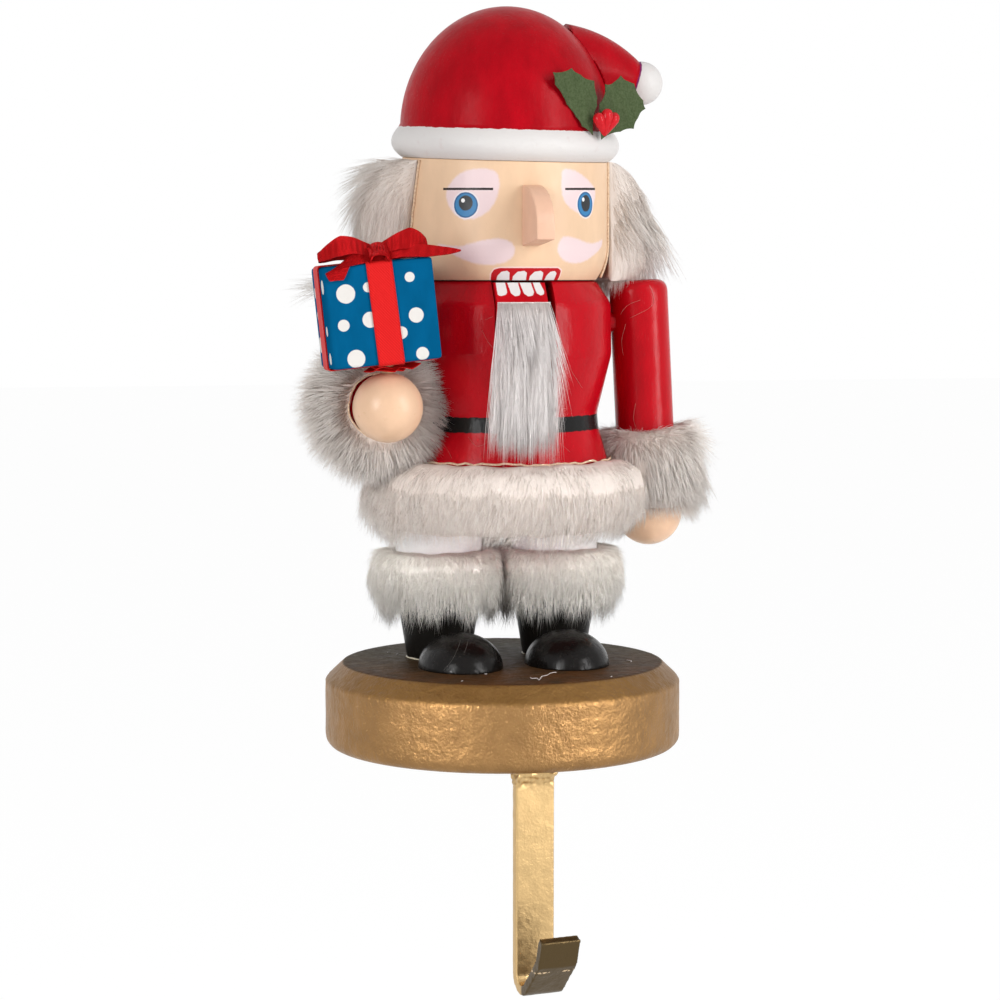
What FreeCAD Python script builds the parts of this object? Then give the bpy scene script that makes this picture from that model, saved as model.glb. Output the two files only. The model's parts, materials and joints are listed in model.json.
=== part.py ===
import FreeCAD, Part
import os
import re
import Sketcher
from FreeCAD import Vector

# Mantel stocking holder: a turned wooden figure in a fur-trimmed red coat and cap,
# standing on a round cast-iron base with a steel strap hook below it.
# Millimetres. The origin is the centre of the base's underside, +Z is up,
# the figure faces -Y and its left hand is on the +X side.

# Driving sizes: each name is a cell's alias, with its value and its meaning
SIZES = {
    # Cast base
    "base_radius": (45.0, "outside radius of the base"),
    "base_height": (21.3, "height of the base"),
    "base_chamfer_width": (4.5, "how far in the top edge's slope runs"),
    "base_chamfer_height": (4.35, "how far down the top edge's slope runs"),
    "base_edge_round": (3.0, "radius of the bottom edge"),
    # Strap hook
    "hook_x": (-0.8, "middle of the strap, sideways"),
    "hook_y": (-36.9, "middle of the strap, front to back"),
    "hook_turn": (9.5, "degrees that the strap is twisted about its length"),
    "strap_width": (10.0, "width of the steel strap"),
    "strap_thickness": (2.4, "thickness of the steel strap"),
    "hook_drop": (54.3, "underside of the base to the bottom of the bend"),
    "bend_radius": (2.5, "inside radius of the bottom bend"),
    "lip_slope": (45.0, "degrees from upright of the lip's lower run"),
    "lip_run": (10.7, "length of the lip's lower run"),
    "tip_slope": (19.0, "degrees from upright of the lip's tip"),
    "tip_run": (7.0, "length of the lip's tip"),
    "weld_width": (1.6, "reach of the weld bead in front of and behind the strap"),
    "weld_drop": (3.3, "how far the weld bead shows below the base"),
    "seat_depth": (1.0, "depth of the recess that the strap is welded into"),
    "seat_gap": (0.3, "room round the strap and its weld in the recess"),
    # Wood screws through the base
    "screw_radius": (1.9, "shank of a wood screw"),
    "screw_length": (30.0, "shank length under the head"),
    "screw_head_radius": (3.8, "head of a wood screw"),
    "screw_head_height": (2.6, "height of the screw's head"),
    "counterbore_depth": (5.0, "depth of the hole for the head"),
    "counterbore_gap": (0.5, "room round the head"),
    # Joints between pieces
    "glue_gap": (0.05, "glue line round a peg and in a seat"),
    "fur_gap": (0.3, "fur backing to the wood beneath it"),
    "peg_radius": (3.0, "legs, hat and wrist pegs"),
    "peg_bite": (8.0, "depth of a peg in each piece"),
    "peg_room": (0.5, "empty end of a peg's hole"),
    # Legs and boots
    "legs_x": (0.8, "middle between the legs"),
    "leg_spacing": (30.5, "distance between the legs' axes"),
    "leg_y": (10.0, "legs' axes, front to back"),
    "leg_length": (36.7, "top of the base to the bottom of the coat"),
    "boot_foot_radius": (8.2, "boot at the base"),
    "boot_radius": (9.8, "boot above the ankle"),
    "boot_flare_height": (10.0, "height where the boot is full"),
    "boot_cover": (5.5, "how far the leg fur laps over the boot's top"),
    "trouser_step": (1.0, "slope between boot and trouser"),
    "trouser_radius": (11.0, "trouser leg"),
    "toe_spacing": (27.4, "distance between the toes' middles"),
    "toe_y": (-9.5, "middle of a toe, front to back"),
    "toe_half_width": (10.5, "half the width of a toe"),
    "toe_half_length": (13.0, "half the length of a toe"),
    "toe_height": (8.6, "height of a toe"),
    "leg_fur_drop": (8.9, "upper edge of the leg fur below the coat"),
    "leg_fur_rise": (3.4, "lower edge of the leg fur above the toes"),
    "leg_fur_thickness": (4.8, "leg fur at its edges"),
    "leg_fur_bulge": (1.6, "how much fuller the leg fur is half way up"),
    # Coat
    "torso_x": (1.3, "axis of the body, sideways"),
    "torso_y": (3.0, "axis of the body, front to back"),
    "skirt_inset": (0.9, "coat below the waist, within the chest"),
    "skirt_height": (14.4, "straight part of the skirt"),
    "waist_height": (7.9, "slope from the skirt up to the belt"),
    "belt_inset": (3.4, "body at the belt, within the chest"),
    "belt_height": (3.9, "height of the belt"),
    "rib_height": (14.8, "slope from the belt up to the chest"),
    "chest_radius": (27.0, "body at the chest"),
    "chest_height": (12.8, "straight part of the chest"),
    "shoulder_height": (5.7, "slope of the shoulder"),
    "shoulder_width": (4.0, "how far in the shoulder's slope runs"),
    "hem_low": (-5.0, "lower edge of the hem fur, from the bottom of the coat"),
    "hem_height": (19.2, "height of the hem fur"),
    "hem_thickness": (5.0, "hem fur at its edges"),
    "hem_bulge": (3.4, "how much fuller the hem fur is half way up"),
    # Head, nose and hair
    "head_inset": (1.2, "head within the chest"),
    "head_height": (30.4, "neck to the hat's seat"),
    "chin_height": (10.0, "height of the head's rounded lower edge"),
    "chin_bulge": (0.9, "roundness of the head's lower edge"),
    "neck_peg_spacing": (34.0, "distance between the two neck pegs"),
    "neck_peg_radius": (2.2, "neck peg"),
    "neck_peg_bite": (6.0, "depth of a neck peg in each piece"),
    "nose_x": (0.6, "foot of the nose, from the head's axis"),
    "nose_turn": (8.0, "degrees that the nose is glued askew"),
    "nose_low": (8.2, "foot of the nose above the neck"),
    "nose_height": (15.0, "height of the nose"),
    "nose_width": (4.7, "width of the nose"),
    "nose_depth": (9.8, "reach of the nose from the face"),
    "nose_tip_rise": (1.7, "slope of the nose's underside"),
    "nose_front_height": (3.4, "upright part of the nose's front"),
    "nose_bulge": (2.7, "roundness of the nose's ridge"),
    "nose_root": (2.0, "part of the nose's blank that the face cuts away"),
    "hair_angle": (212.0, "degrees of the head that the hair wraps"),
    "hair_low": (0.9, "lower edge of the hair above the neck"),
    "hair_height": (27.8, "height of the hair"),
    "hair_thickness": (11.5, "hair at its lower edge"),
    "hair_top_thickness": (4.2, "hair under the hat"),
    "hair_bulge": (4.2, "how much fuller the hair is half way up"),
    "curtain_angle": (116.0, "degrees of the back that the long hair covers"),
    "curtain_drop": (12.5, "how far the long hair hangs below the neck"),
    "curtain_thickness": (6.0, "long hair at its lower edge"),
    # Jaw
    "slot_x": (-0.8, "middle of the jaw's slot, from the body's axis"),
    "slot_width": (15.2, "width of the jaw's slot"),
    "slot_depth": (31.0, "depth of the jaw's slot below the neck"),
    "jaw_x": (-1.7, "middle of the jaw, from the body's axis"),
    "jaw_width": (12.8, "width of the jaw and its lever"),
    "jaw_gap": (0.4, "jaw to the head when shut"),
    "jaw_proud": (0.1, "how far the jaw stands out of the chest"),
    "jaw_depth": (12.2, "front to back of the jaw's block"),
    "pivot_drop": (22.5, "jaw pin below the neck"),
    "lever_half_height": (4.2, "half the height of the jaw's lever"),
    "tail_gap": (2.5, "lever's handle to the back of the body"),
    "tail_thickness": (5.0, "thickness of the lever's handle"),
    "tail_length": (17.0, "length of the lever's handle below the lever"),
    "tail_bevel": (2.5, "bevel on the lever's back corner"),
    "pin_radius": (1.5, "steel jaw pin"),
    "pin_clearance": (0.05, "running clearance of the jaw on its pin"),
    "pin_bite": (9.0, "depth of the pin past the slot on the right"),
    "pin_recess": (1.5, "how far the pin's left end lies below the coat"),
    "beard_x": (-2.6, "middle of the beard, from the body's axis"),
    "beard_top_width": (13.4, "beard at the jaw"),
    "beard_width": (17.4, "beard at its tips"),
    "beard_length": (34.0, "length of the beard"),
    "beard_thickness": (5.0, "thickness of the beard"),
    "beard_lean": (3.0, "degrees that the beard stands off the coat"),
    # Hat
    "hat_nod": (3.3, "degrees that the hat leans forward"),
    "hat_tilt": (0.8, "degrees that the hat leans to its left"),
    "brim_height": (7.6, "height of the brim's roll"),
    "brim_bulge": (2.3, "how far the brim's roll stands out"),
    "crown_overhang": (0.7, "crown outside the head"),
    "crown_height": (30.3, "height of the crown above the brim"),
    "tail_root_x": (15.7, "middle of the hat tail's root, from the hat's axis"),
    "tail_root_z": (23.0, "middle of the hat tail's root above the hat's seat"),
    "tail_root_radius": (11.0, "hat tail at its root"),
    "tail_middle_x": (25.2, "middle of the hat tail, from the hat's axis"),
    "tail_middle_z": (22.6, "middle of the hat tail above the hat's seat"),
    "tail_middle_radius": (8.2, "hat tail half way"),
    "tail_end_x": (33.0, "end of the hat tail, from the hat's axis"),
    "tail_end_z": (20.2, "end of the hat tail above the hat's seat"),
    "tail_end_radius": (5.2, "hat tail at the ball"),
    "tail_end_slope": (16.0, "degrees that the hat tail's end points down"),
    "pompom_radius": (5.5, "ball at the end of the hat tail"),
    "pompom_offset": (2.6, "middle of the ball past the hat tail's end"),
    # Holly
    "holly_angle": (40.2, "degrees round the brim from its front to the holly"),
    "holly_gap": (0.7, "leaves to the brim, measured level"),
    "holly_z": (5.1, "foot of the holly above the hat's seat"),
    "holly_turn": (18.0, "degrees that the holly faces sideways"),
    "leaf_span": (14.0, "sideways reach of a leaf"),
    "leaf_rise": (16.0, "height of a leaf"),
    "leaf_thickness": (0.5, "stiffened cloth of a leaf"),
    "leaf_gap": (0.3, "gap between the two leaves"),
    "berry_radius": (1.4, "round end of a berry"),
    "berry_length": (5.2, "tip of a berry to its round middle"),
    "berry_fan": (26.0, "degrees between two berries"),
    "berry_offset": (1.8, "berries in front of the leaves"),
    # Arms and hands
    "arm_gap": (0.5, "arm to the chest"),
    "arm_rise": (0.2, "top of the arms above the neck"),
    "arm_radius": (7.45, "arm"),
    "arm_top_round": (3.2, "roundness of the arm's top"),
    "arm_splay": (3.0, "degrees that the left arm leans out"),
    "arm_length": (40.2, "left sleeve"),
    "band_radius": (6.9, "narrow end of a sleeve"),
    "band_length": (1.8, "length of the sleeve's narrow end"),
    "wrist_length": (17.6, "end of the left sleeve to the hand's middle"),
    "hand_radius": (8.5, "hand"),
    "arm_peg_drop": (10.5, "arm pegs below the neck"),
    "arm_peg_radius": (2.5, "arm peg"),
    "arm_peg_bite": (6.5, "depth of an arm peg in each piece"),
    "elbow_drop": (30.6, "top of the right arm to its elbow"),
    "forearm_length": (17.2, "elbow to the end of the right sleeve"),
    "forearm_reach": (26.0, "elbow to the right hand's middle"),
    "elbow_peg_radius": (2.0, "elbow peg"),
    "elbow_peg_length": (10.0, "elbow peg"),
    "left_cuff_overlap": (3.5, "left cuff's fur over the sleeve"),
    "left_cuff_length": (19.0, "length of the left cuff's fur"),
    "left_cuff_thickness": (2.7, "left cuff's fur at the sleeve"),
    "left_cuff_bulge": (1.6, "how much fuller the left cuff is half way"),
    "right_cuff_length": (8.2, "length of the right cuff's fur"),
    "right_cuff_thickness": (7.2, "right cuff's fur at its edges"),
    "right_cuff_bulge": (1.6, "how much fuller the right cuff is half way"),
    # Gift
    "gift_width": (26.5, "width of the gift box"),
    "gift_depth": (18.0, "front to back of the gift box"),
    "gift_height": (24.3, "height of the gift box"),
    "gift_edge": (0.8, "rounded edges of the gift box"),
    "gift_x": (-2.85, "middle of the gift box, from the hand"),
    "gift_y": (-0.6, "middle of the gift box, from the hand"),
    "gift_rise": (2.2, "hand to the gift box"),
    "gift_roll": (6.0, "degrees that the gift box leans outwards"),
    "gift_peg_radius": (1.5, "peg between hand and gift box"),
    "gift_peg_bite": (5.0, "depth of that peg in each piece"),
    "ribbon_width": (6.3, "width of the satin ribbon"),
    "ribbon_thickness": (0.4, "thickness of the satin ribbon"),
    "fold_radius": (4.6, "folded ribbon between hand and gift box"),
    "bow_x": (-1.6, "knot of the bow, from the middle of the gift box"),
    "bow_loop_length": (12.2, "length of a loop of the bow"),
    "bow_loop_height": (6.6, "height of a loop of the bow"),
    "bow_knot_radius": (1.9, "knot of the bow"),
    "bow_tail_length": (18.4, "pointed tail of the bow"),
    "bow_drape": (5.2, "how far the other tail hangs over the front"),
}

# Levels and places that several pieces share
COAT_BOTTOM = "(base_height + leg_length)"
LEG_FUR_LOW = "(toe_height + leg_fur_rise)"
LEG_FUR_HEIGHT = f"(leg_length - leg_fur_drop - {LEG_FUR_LOW})"
BOOT_HEIGHT = f"({LEG_FUR_LOW} + boot_cover)"
SKIRT_RADIUS = "(chest_radius - skirt_inset)"
BELT_RADIUS = "(chest_radius - belt_inset)"
NECK_RADIUS = "(chest_radius - shoulder_width)"
HEAD_RADIUS = "(chest_radius - head_inset)"
CROWN_RADIUS = f"({HEAD_RADIUS} + crown_overhang)"
BELT_LOW = "(skirt_height + waist_height)"
BELT_HIGH = f"({BELT_LOW} + belt_height)"
CHEST_LOW = f"({BELT_HIGH} + rib_height)"
CHEST_HIGH = f"({CHEST_LOW} + chest_height)"
COAT_HEIGHT = f"({CHEST_HIGH} + shoulder_height)"
NECK = f"({COAT_BOTTOM} + {COAT_HEIGHT})"
HAT_SEAT = f"({NECK} + head_height)"
ARM_TOP = f"({NECK} + arm_rise)"
LEFT_ARM_X = "(torso_x + chest_radius + arm_gap + arm_radius)"
RIGHT_ARM_X = "(torso_x - chest_radius - arm_gap - arm_radius)"
ELBOW = f"({ARM_TOP} - elbow_drop)"
HAND_Y = "(torso_y - forearm_reach)"
HAND_TOP = f"({ELBOW} + hand_radius)"
PIVOT = f"({NECK} - pivot_drop)"
SLEEVE_END = "(arm_length + band_length)"
JAW_FRONT = "(chest_radius + jaw_proud)"
PEG_HOLE = "(peg_radius + glue_gap)"

doc = FreeCAD.newDocument("StockingHolder")
sheet = doc.addObject("Spreadsheet::Sheet", "Sizes")
for row, (alias, (value, meaning)) in enumerate(SIZES.items(), start=1):
    sheet.set(f"A{row}", alias)
    sheet.set(f"B{row}", str(value))
    sheet.set(f"C{row}", meaning)
    sheet.setAlias(f"B{row}", alias)
doc.recompute()


def formula(words):
    """Point every size named in the words at its cell."""
    return re.sub(r"[a-z][a-z_]*", lambda word: f"Sizes.{word[0]}" if word[0] in SIZES else word[0], words)


def number(words):
    """What a formula comes to."""
    return float(sheet.evalExpression(formula(words)))


def frame(across="0", along="0", up="0", yaw="0", pitch="0", roll="0"):
    """A place and a turn, as a formula."""
    return f"placement(vector({across}; {along}; {up}); rotation({yaw}; {pitch}; {roll}))"


def sit(thing, *frames):
    """Place a thing in the last frame, each frame being measured in the one before it."""
    thing.setExpression("Placement", formula(" * ".join(frames)))
    return thing


def bulge_radius(chord, height):
    """Radius of an arc that rises by the height over the chord."""
    return f"(({chord}) ^ 2 / 4 + ({height}) ^ 2) / (2 * ({height}))"


def slanted(across, up):
    """Length of a line from its reach across and up."""
    return f"sqrt(({across}) ^ 2 + ({up}) ^ 2)"


def arc_edge(start, end, radius, turn):
    """The short arc from start to end, and which of its ends (1 or 2) it starts from."""
    chord = end - start
    rise = (radius ** 2 - (chord.Length / 2) ** 2) ** 0.5
    side = Vector(-chord.y, chord.x, 0).normalize() * (rise if turn == "left" else -rise)
    centre = (start + end) * 0.5 + side
    circle = Part.Circle(centre, Vector(0, 0, 1), radius)
    if turn == "left":
        return Part.ArcOfCircle(circle, circle.parameter(start), circle.parameter(end)), 1
    return Part.ArcOfCircle(circle, circle.parameter(end), circle.parameter(start)), 2


def new_sketch(body, name, plane):
    """An empty sketch on one of the body's own planes."""
    sketch = body.newObject("Sketcher::SketchObject", name)
    support = [feature for feature in body.Origin.OriginFeatures if feature.Role == plane][0]
    sketch.AttachmentSupport = [(support, "")]
    sketch.MapMode = "FlatFace"
    return sketch


def fix_point(sketch, edge, end, name, across, up):
    """Tie a sketch point to the sizes, or to an axis where it lies on one."""
    for kind, words, axis in (("DistanceX", across, -2), ("DistanceY", up, -1)):
        if words == "0":
            sketch.addConstraint(Sketcher.Constraint("PointOnObject", edge, end, axis))
            continue
        place = sketch.addConstraint(Sketcher.Constraint(kind, -1, 1, edge, end, number(words)))
        label = f"{kind}_{name}"
        sketch.renameConstraint(place, label)
        sketch.setExpression(f"Constraints.{label}", formula(words))


def outline(body, name, plane, corners):
    """A closed sketch, corners in order; (across, up, radius, turn) starts an arc, else a line."""
    sketch = new_sketch(body, name, plane)
    points = [Vector(number(corner[0]), number(corner[1]), 0) for corner in corners]
    first_ends = []
    for place, corner in enumerate(corners):
        start = points[place]
        end = points[(place + 1) % len(points)]
        if len(corner) == 2:
            edge, first_end = Part.LineSegment(start, end), 1
        else:
            edge, first_end = arc_edge(start, end, number(corner[2]), corner[3])
        sketch.addGeometry(edge, False)
        first_ends.append(first_end)
    for place, corner in enumerate(corners):
        after = (place + 1) % len(corners)
        last_end = 3 - first_ends[place]
        sketch.addConstraint(Sketcher.Constraint("Coincident", place, last_end, after, first_ends[after]))
        if len(corner) == 4:
            radius = sketch.addConstraint(Sketcher.Constraint("Radius", place, number(corner[2])))
            sketch.renameConstraint(radius, f"Radius_{place}")
            sketch.setExpression(f"Constraints.Radius_{place}", formula(corner[2]))
    for place, corner in enumerate(corners):
        fix_point(sketch, place, first_ends[place], str(place), corner[0], corner[1])
    return sketch


def circles(body, name, plane, places):
    """A sketch of circles, each (across, up, radius)."""
    sketch = new_sketch(body, name, plane)
    for place, (across, up, radius) in enumerate(places):
        centre = Vector(number(across), number(up), 0)
        sketch.addGeometry(Part.Circle(centre, Vector(0, 0, 1), number(radius)), False)
        fix_point(sketch, place, 3, str(place), across, up)
        width = sketch.addConstraint(Sketcher.Constraint("Radius", place, number(radius)))
        sketch.renameConstraint(width, f"Radius_{place}")
        sketch.setExpression(f"Constraints.Radius_{place}", formula(radius))
    return sketch


def turn(body, name, corners, spread="360"):
    """Add a solid turned about the body's upright axis; a part turn is centred on the back."""
    plane = "XZ_Plane" if spread == "360" else "YZ_Plane"
    sketch = outline(body, f"{name}_profile", plane, corners)
    lathe = body.newObject("PartDesign::Revolution", f"{name}_lathe")
    lathe.Profile = sketch
    lathe.ReferenceAxis = (sketch, ["V_Axis"])
    lathe.Midplane = spread != "360"
    lathe.setExpression("Angle", formula(spread))
    body.Tip = lathe
    return body


def turned(name, corners, spread="360"):
    """A new turned body from (radius, height) corners."""
    return turn(doc.addObject("PartDesign::Body", name), name, corners, spread)


def pad(body, name, plane, corners, thickness, one_way=False):
    """Add a solid with the outline's shape, centred on the plane or behind it."""
    plate = body.newObject("PartDesign::Pad", f"{name}_pad")
    plate.Profile = outline(body, f"{name}_outline", plane, corners)
    plate.SideType = "One side" if one_way else "Symmetric"
    plate.Reversed = one_way
    plate.setExpression("Length", formula(thickness))
    body.Tip = plate
    return body


def sawn(name, plane, corners, thickness, one_way=False):
    """A new body of one thickness, cut to an outline."""
    return pad(doc.addObject("PartDesign::Body", name), name, plane, corners, thickness, one_way)


def rectangle(width, depth):
    """Corners of a rectangle about the origin."""
    east, north = f"({width}) / 2", f"({depth}) / 2"
    return [(f"-({east})", f"-({north})"), (east, f"-({north})"), (east, north), (f"-({east})", north)]


def block(name, width, depth, height):
    """A block about the origin."""
    return sawn(name, "XY_Plane", rectangle(width, depth), height)


def pocket(body, name, sketch, depth=None):
    """Cut a sketch's shape into a body, to a depth each side of its plane or right through."""
    doc.recompute()
    before = body.Shape.Volume
    cut = body.newObject("PartDesign::Pocket", f"{name}_pocket")
    cut.Profile = sketch
    cut.SideType = "Symmetric"
    if depth is None:
        cut.Type = "ThroughAll"
    else:
        cut.setExpression("Length", formula(f"2 * ({depth})"))
    body.Tip = cut
    doc.recompute()
    if body.Shape.Volume >= before:
        raise RuntimeError(f"the cut {name} removes nothing")
    return body


def rod(name, radius, length):
    """A round rod standing on its frame's origin."""
    cylinder = doc.addObject("Part::Cylinder", name)
    cylinder.setExpression("Radius", formula(radius))
    cylinder.setExpression("Height", formula(length))
    return cylinder


def ball(name, radius):
    """A ball about its frame's origin."""
    sphere = doc.addObject("Part::Sphere", name)
    sphere.setExpression("Radius", formula(radius))
    return sphere


def dome(name, half_width, half_depth, height):
    """The upper half of an ellipsoid."""
    shell = doc.addObject("Part::Ellipsoid", name)
    shell.setExpression("Radius1", formula(height))
    shell.setExpression("Radius2", formula(half_width))
    shell.setExpression("Radius3", formula(half_depth))
    shell.Angle1 = 0
    return shell


def cut_away(name, blank, *tools):
    """The blank with each tool's shape taken out of it."""
    for tool in tools:
        cut = doc.addObject("Part::Cut", name)
        cut.Base = blank
        cut.Tool = tool
        blank = cut
    return blank


def joined(name, *things):
    """Several solids made one."""
    union = doc.addObject("Part::MultiFuse", name)
    union.Shapes = list(things)
    return union


def grouped(name, *things):
    """Several separate solids kept together."""
    group = doc.addObject("Part::Compound", name)
    group.Links = list(things)
    return group


def peg(name, radius, length, *frames):
    """A dowel and the hole for it, centred on the last frame's origin along its upright axis."""
    dowel = sit(rod(f"{name}_dowel", radius, length), *frames, frame(up=f"-({length}) / 2"))
    hole_length = f"({length}) + 2 * peg_room"
    hole = rod(f"{name}_hole", f"{radius} + glue_gap", hole_length)
    return dowel, sit(hole, *frames, frame(up=f"-({hole_length}) / 2"))


pieces = {}


def keep(label, thing):
    """Name a finished piece."""
    pieces[label] = thing
    return thing


# Frames of the sub-assemblies
BODY_FRAME = frame("torso_x", "torso_y", COAT_BOTTOM)
NECK_FRAME = frame("torso_x", "torso_y", NECK)
HAT_FRAME = frame("torso_x", "torso_y", HAT_SEAT, pitch="hat_tilt", roll="hat_nod")
LEFT_ARM_FRAME = frame(LEFT_ARM_X, "torso_y", ARM_TOP, pitch="180 - arm_splay")
RIGHT_ARM_FRAME = frame(RIGHT_ARM_X, "torso_y", ARM_TOP, pitch="180")
FOREARM_FRAME = frame(RIGHT_ARM_X, "torso_y", ELBOW, roll="90")
MITRE_FRAME = frame(RIGHT_ARM_X, "torso_y", ELBOW, roll="-45")
JAW_FRAME = frame("torso_x + jaw_x", "torso_y", PIVOT)
HOOK_FRAME = frame("hook_x", "hook_y", yaw="hook_turn - 90")
HOLLY_REACH = f"({CROWN_RADIUS} + brim_bulge + holly_gap)"
HOLLY_FRAME = frame(f"torso_x + {HOLLY_REACH} * sin(holly_angle * 1 deg)",
                    f"torso_y - {HOLLY_REACH} * cos(holly_angle * 1 deg)",
                    f"{HAT_SEAT} + holly_z", yaw="holly_turn")
GIFT_FRAME = frame(f"{RIGHT_ARM_X} + gift_x", f"{HAND_Y} + gift_y",
                   f"{HAND_TOP} + gift_rise + gift_height / 2", pitch="-gift_roll")
SIDES = (("left", "+"), ("right", "-"))


# Base: one casting with a sloped upper edge, two screw holes and a recess for the strap's end
def make_base():
    body = turned("base", [
        ("0", "0"),
        ("base_radius - base_edge_round", "0", "base_edge_round", "left"),
        ("base_radius", "base_edge_round"),
        ("base_radius", "base_height - base_chamfer_height"),
        ("base_radius - base_chamfer_width", "base_height"),
        ("0", "base_height"),
    ])
    leg_places = [(f"legs_x {sign} leg_spacing / 2", "leg_y") for _, sign in SIDES]
    shanks = [(across, along, "screw_radius + counterbore_gap") for across, along in leg_places]
    heads = [(across, along, "screw_head_radius + counterbore_gap") for across, along in leg_places]
    pocket(body, "shank", circles(body, "shank_circles", "XY_Plane", shanks))
    pocket(body, "head", circles(body, "head_circles", "XY_Plane", heads), "counterbore_depth")
    recess = block("strap_recess", "strap_thickness + 2 * weld_width + 2 * seat_gap",
                   "strap_width + 2 * seat_gap", "2 * seat_depth")
    sit(recess, HOOK_FRAME)
    keep("base", cut_away("base_cut", body, recess))


# Hook: one steel strap bent up at its foot, with the weld bead that holds it to the base.
# Its profile runs forward along the sketch's first axis.
def make_hook():
    half = "(strap_thickness / 2)"
    bend_x = f"({half} + bend_radius)"
    outer = "(bend_radius + strap_thickness)"
    bend_z = f"({outer} - hook_drop)"
    sine, cosine = "sin(lip_slope * 1 deg)", "cos(lip_slope * 1 deg)"
    tip_sine, tip_cosine = "sin(tip_slope * 1 deg)", "cos(tip_slope * 1 deg)"
    lean = "((lip_slope - tip_slope) / 2)"
    mitre = f"({half} * tan({lean} * 1 deg))"

    def bend_end(radius):
        return f"({bend_x} + {radius} * {cosine})", f"({bend_z} - {radius} * {sine})"

    def crease(radius, run):
        across, up = bend_end(radius)
        return f"({across} + ({run}) * {sine})", f"({up} + ({run}) * {cosine})"

    def lip_end(radius, run):
        across, up = crease(radius, run)
        length = "tip_run" if radius == outer else f"(tip_run - 2 * {mitre})"
        return f"({across} + {length} * {tip_sine})", f"({up} + {length} * {tip_cosine})"

    long_run, short_run = f"lip_run + {mitre}", f"lip_run - {mitre}"
    body = sawn("hook_strap", "XZ_Plane", [
        (f"-{half}", "seat_depth"),
        (f"-{half}", bend_z, outer, "left"),
        bend_end(outer),
        crease(outer, long_run),
        lip_end(outer, long_run),
        lip_end("bend_radius", short_run),
        crease("bend_radius", short_run),
        bend_end("bend_radius") + ("bend_radius", "right"),
        (half, bend_z),
        (half, "seat_depth"),
    ], "strap_width")
    pad(body, "weld", "XZ_Plane", [
        (f"-{half}", "-weld_drop"),
        (half, "-weld_drop"),
        (f"{half} + weld_width", "-weld_drop / 3"),
        (f"{half} + weld_width", "seat_depth"),
        (f"-({half} + weld_width)", "seat_depth"),
        (f"-({half} + weld_width)", "-weld_drop / 3"),
    ], "strap_width")
    keep("hook_strap", sit(body, HOOK_FRAME))


# Legs: trouser and boot turned as one, a half-egg toe, fur round the boot top, and the fixings
def make_legs():
    screws, pegs, peg_holes = [], [], []
    for side, sign in SIDES:
        across = f"(legs_x {sign} leg_spacing / 2)"
        foot = frame(across, "leg_y", "base_height")
        top = frame(across, "leg_y", COAT_BOTTOM)
        dowel, hole = peg(f"{side}_leg_peg", "peg_radius", "2 * peg_bite", top)
        pegs.append(dowel)
        peg_holes.append(hole)
        pilot = "screw_radius + glue_gap"
        pilot_depth = "counterbore_depth + screw_length - base_height + peg_room"
        leg = turned(f"{side}_leg_blank", [
            (pilot, "0"),
            ("boot_foot_radius", "0"),
            ("boot_radius", "boot_flare_height"),
            ("boot_radius", BOOT_HEIGHT),
            ("trouser_radius", f"{BOOT_HEIGHT} + trouser_step"),
            ("trouser_radius", "leg_length"),
            ("0", "leg_length"),
            ("0", pilot_depth),
            (pilot, pilot_depth),
        ])
        keep(f"{side}_leg", cut_away(f"{side}_leg_cut", sit(leg, foot), hole))

        egg = dome(f"{side}_toe_blank", "toe_half_width", "toe_half_length", "toe_height")
        sit(egg, frame(f"legs_x {sign} toe_spacing / 2", "toe_y", "base_height"))
        boot = turned(f"{side}_boot_room", [
            ("0", "0"),
            ("boot_foot_radius + glue_gap", "0"),
            ("boot_radius + glue_gap", "boot_flare_height"),
            ("boot_radius + glue_gap", BOOT_HEIGHT),
            ("0", BOOT_HEIGHT),
        ])
        keep(f"{side}_toe", cut_away(f"{side}_toe_cut", egg, sit(boot, foot)))

        inner = "(trouser_radius + fur_gap)"
        outer = f"({inner} + leg_fur_thickness)"
        ring = turned(f"{side}_leg_fur_ring", [
            (inner, LEG_FUR_LOW),
            (outer, LEG_FUR_LOW, bulge_radius(LEG_FUR_HEIGHT, "leg_fur_bulge"), "left"),
            (outer, f"{LEG_FUR_LOW} + {LEG_FUR_HEIGHT}"),
            (inner, f"{LEG_FUR_LOW} + {LEG_FUR_HEIGHT}"),
        ])
        other_half = block(f"{side}_leg_fur_trim", "2 * leg_spacing", "2 * leg_spacing", "2 * leg_length")
        middle = f"legs_x {sign} (fur_gap / 2 - leg_spacing)"
        sit(other_half, frame(middle, "leg_y", "base_height + leg_length / 2"))
        keep(f"{side}_leg_fur", cut_away(f"{side}_leg_fur_cut", sit(ring, foot), other_half))

        screw = turned(f"{side}_foot_screw", [
            ("0", "counterbore_depth - screw_head_height"),
            ("screw_head_radius", "counterbore_depth - screw_head_height"),
            ("screw_head_radius", "counterbore_depth"),
            ("screw_radius", "counterbore_depth"),
            ("screw_radius", "counterbore_depth + screw_length"),
            ("0", "counterbore_depth + screw_length"),
        ])
        screws.append(sit(screw, frame(across, "leg_y")))
    keep("foot_screws", grouped("foot_screw_pair", *screws))
    keep("leg_pegs", grouped("leg_peg_pair", *pegs))
    return peg_holes


def coat_shape(name, gap="0"):
    """The turned coat, or the room round it."""
    levels = [
        (SKIRT_RADIUS, "0"),
        (SKIRT_RADIUS, "skirt_height"),
        (BELT_RADIUS, BELT_LOW),
        (BELT_RADIUS, BELT_HIGH),
        ("chest_radius", CHEST_LOW),
        ("chest_radius", CHEST_HIGH),
        (NECK_RADIUS, COAT_HEIGHT),
    ]
    return turned(name, [("0", "0")] + [(f"{radius} + {gap}", height) for radius, height in levels]
                  + [("0", COAT_HEIGHT)])


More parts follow.
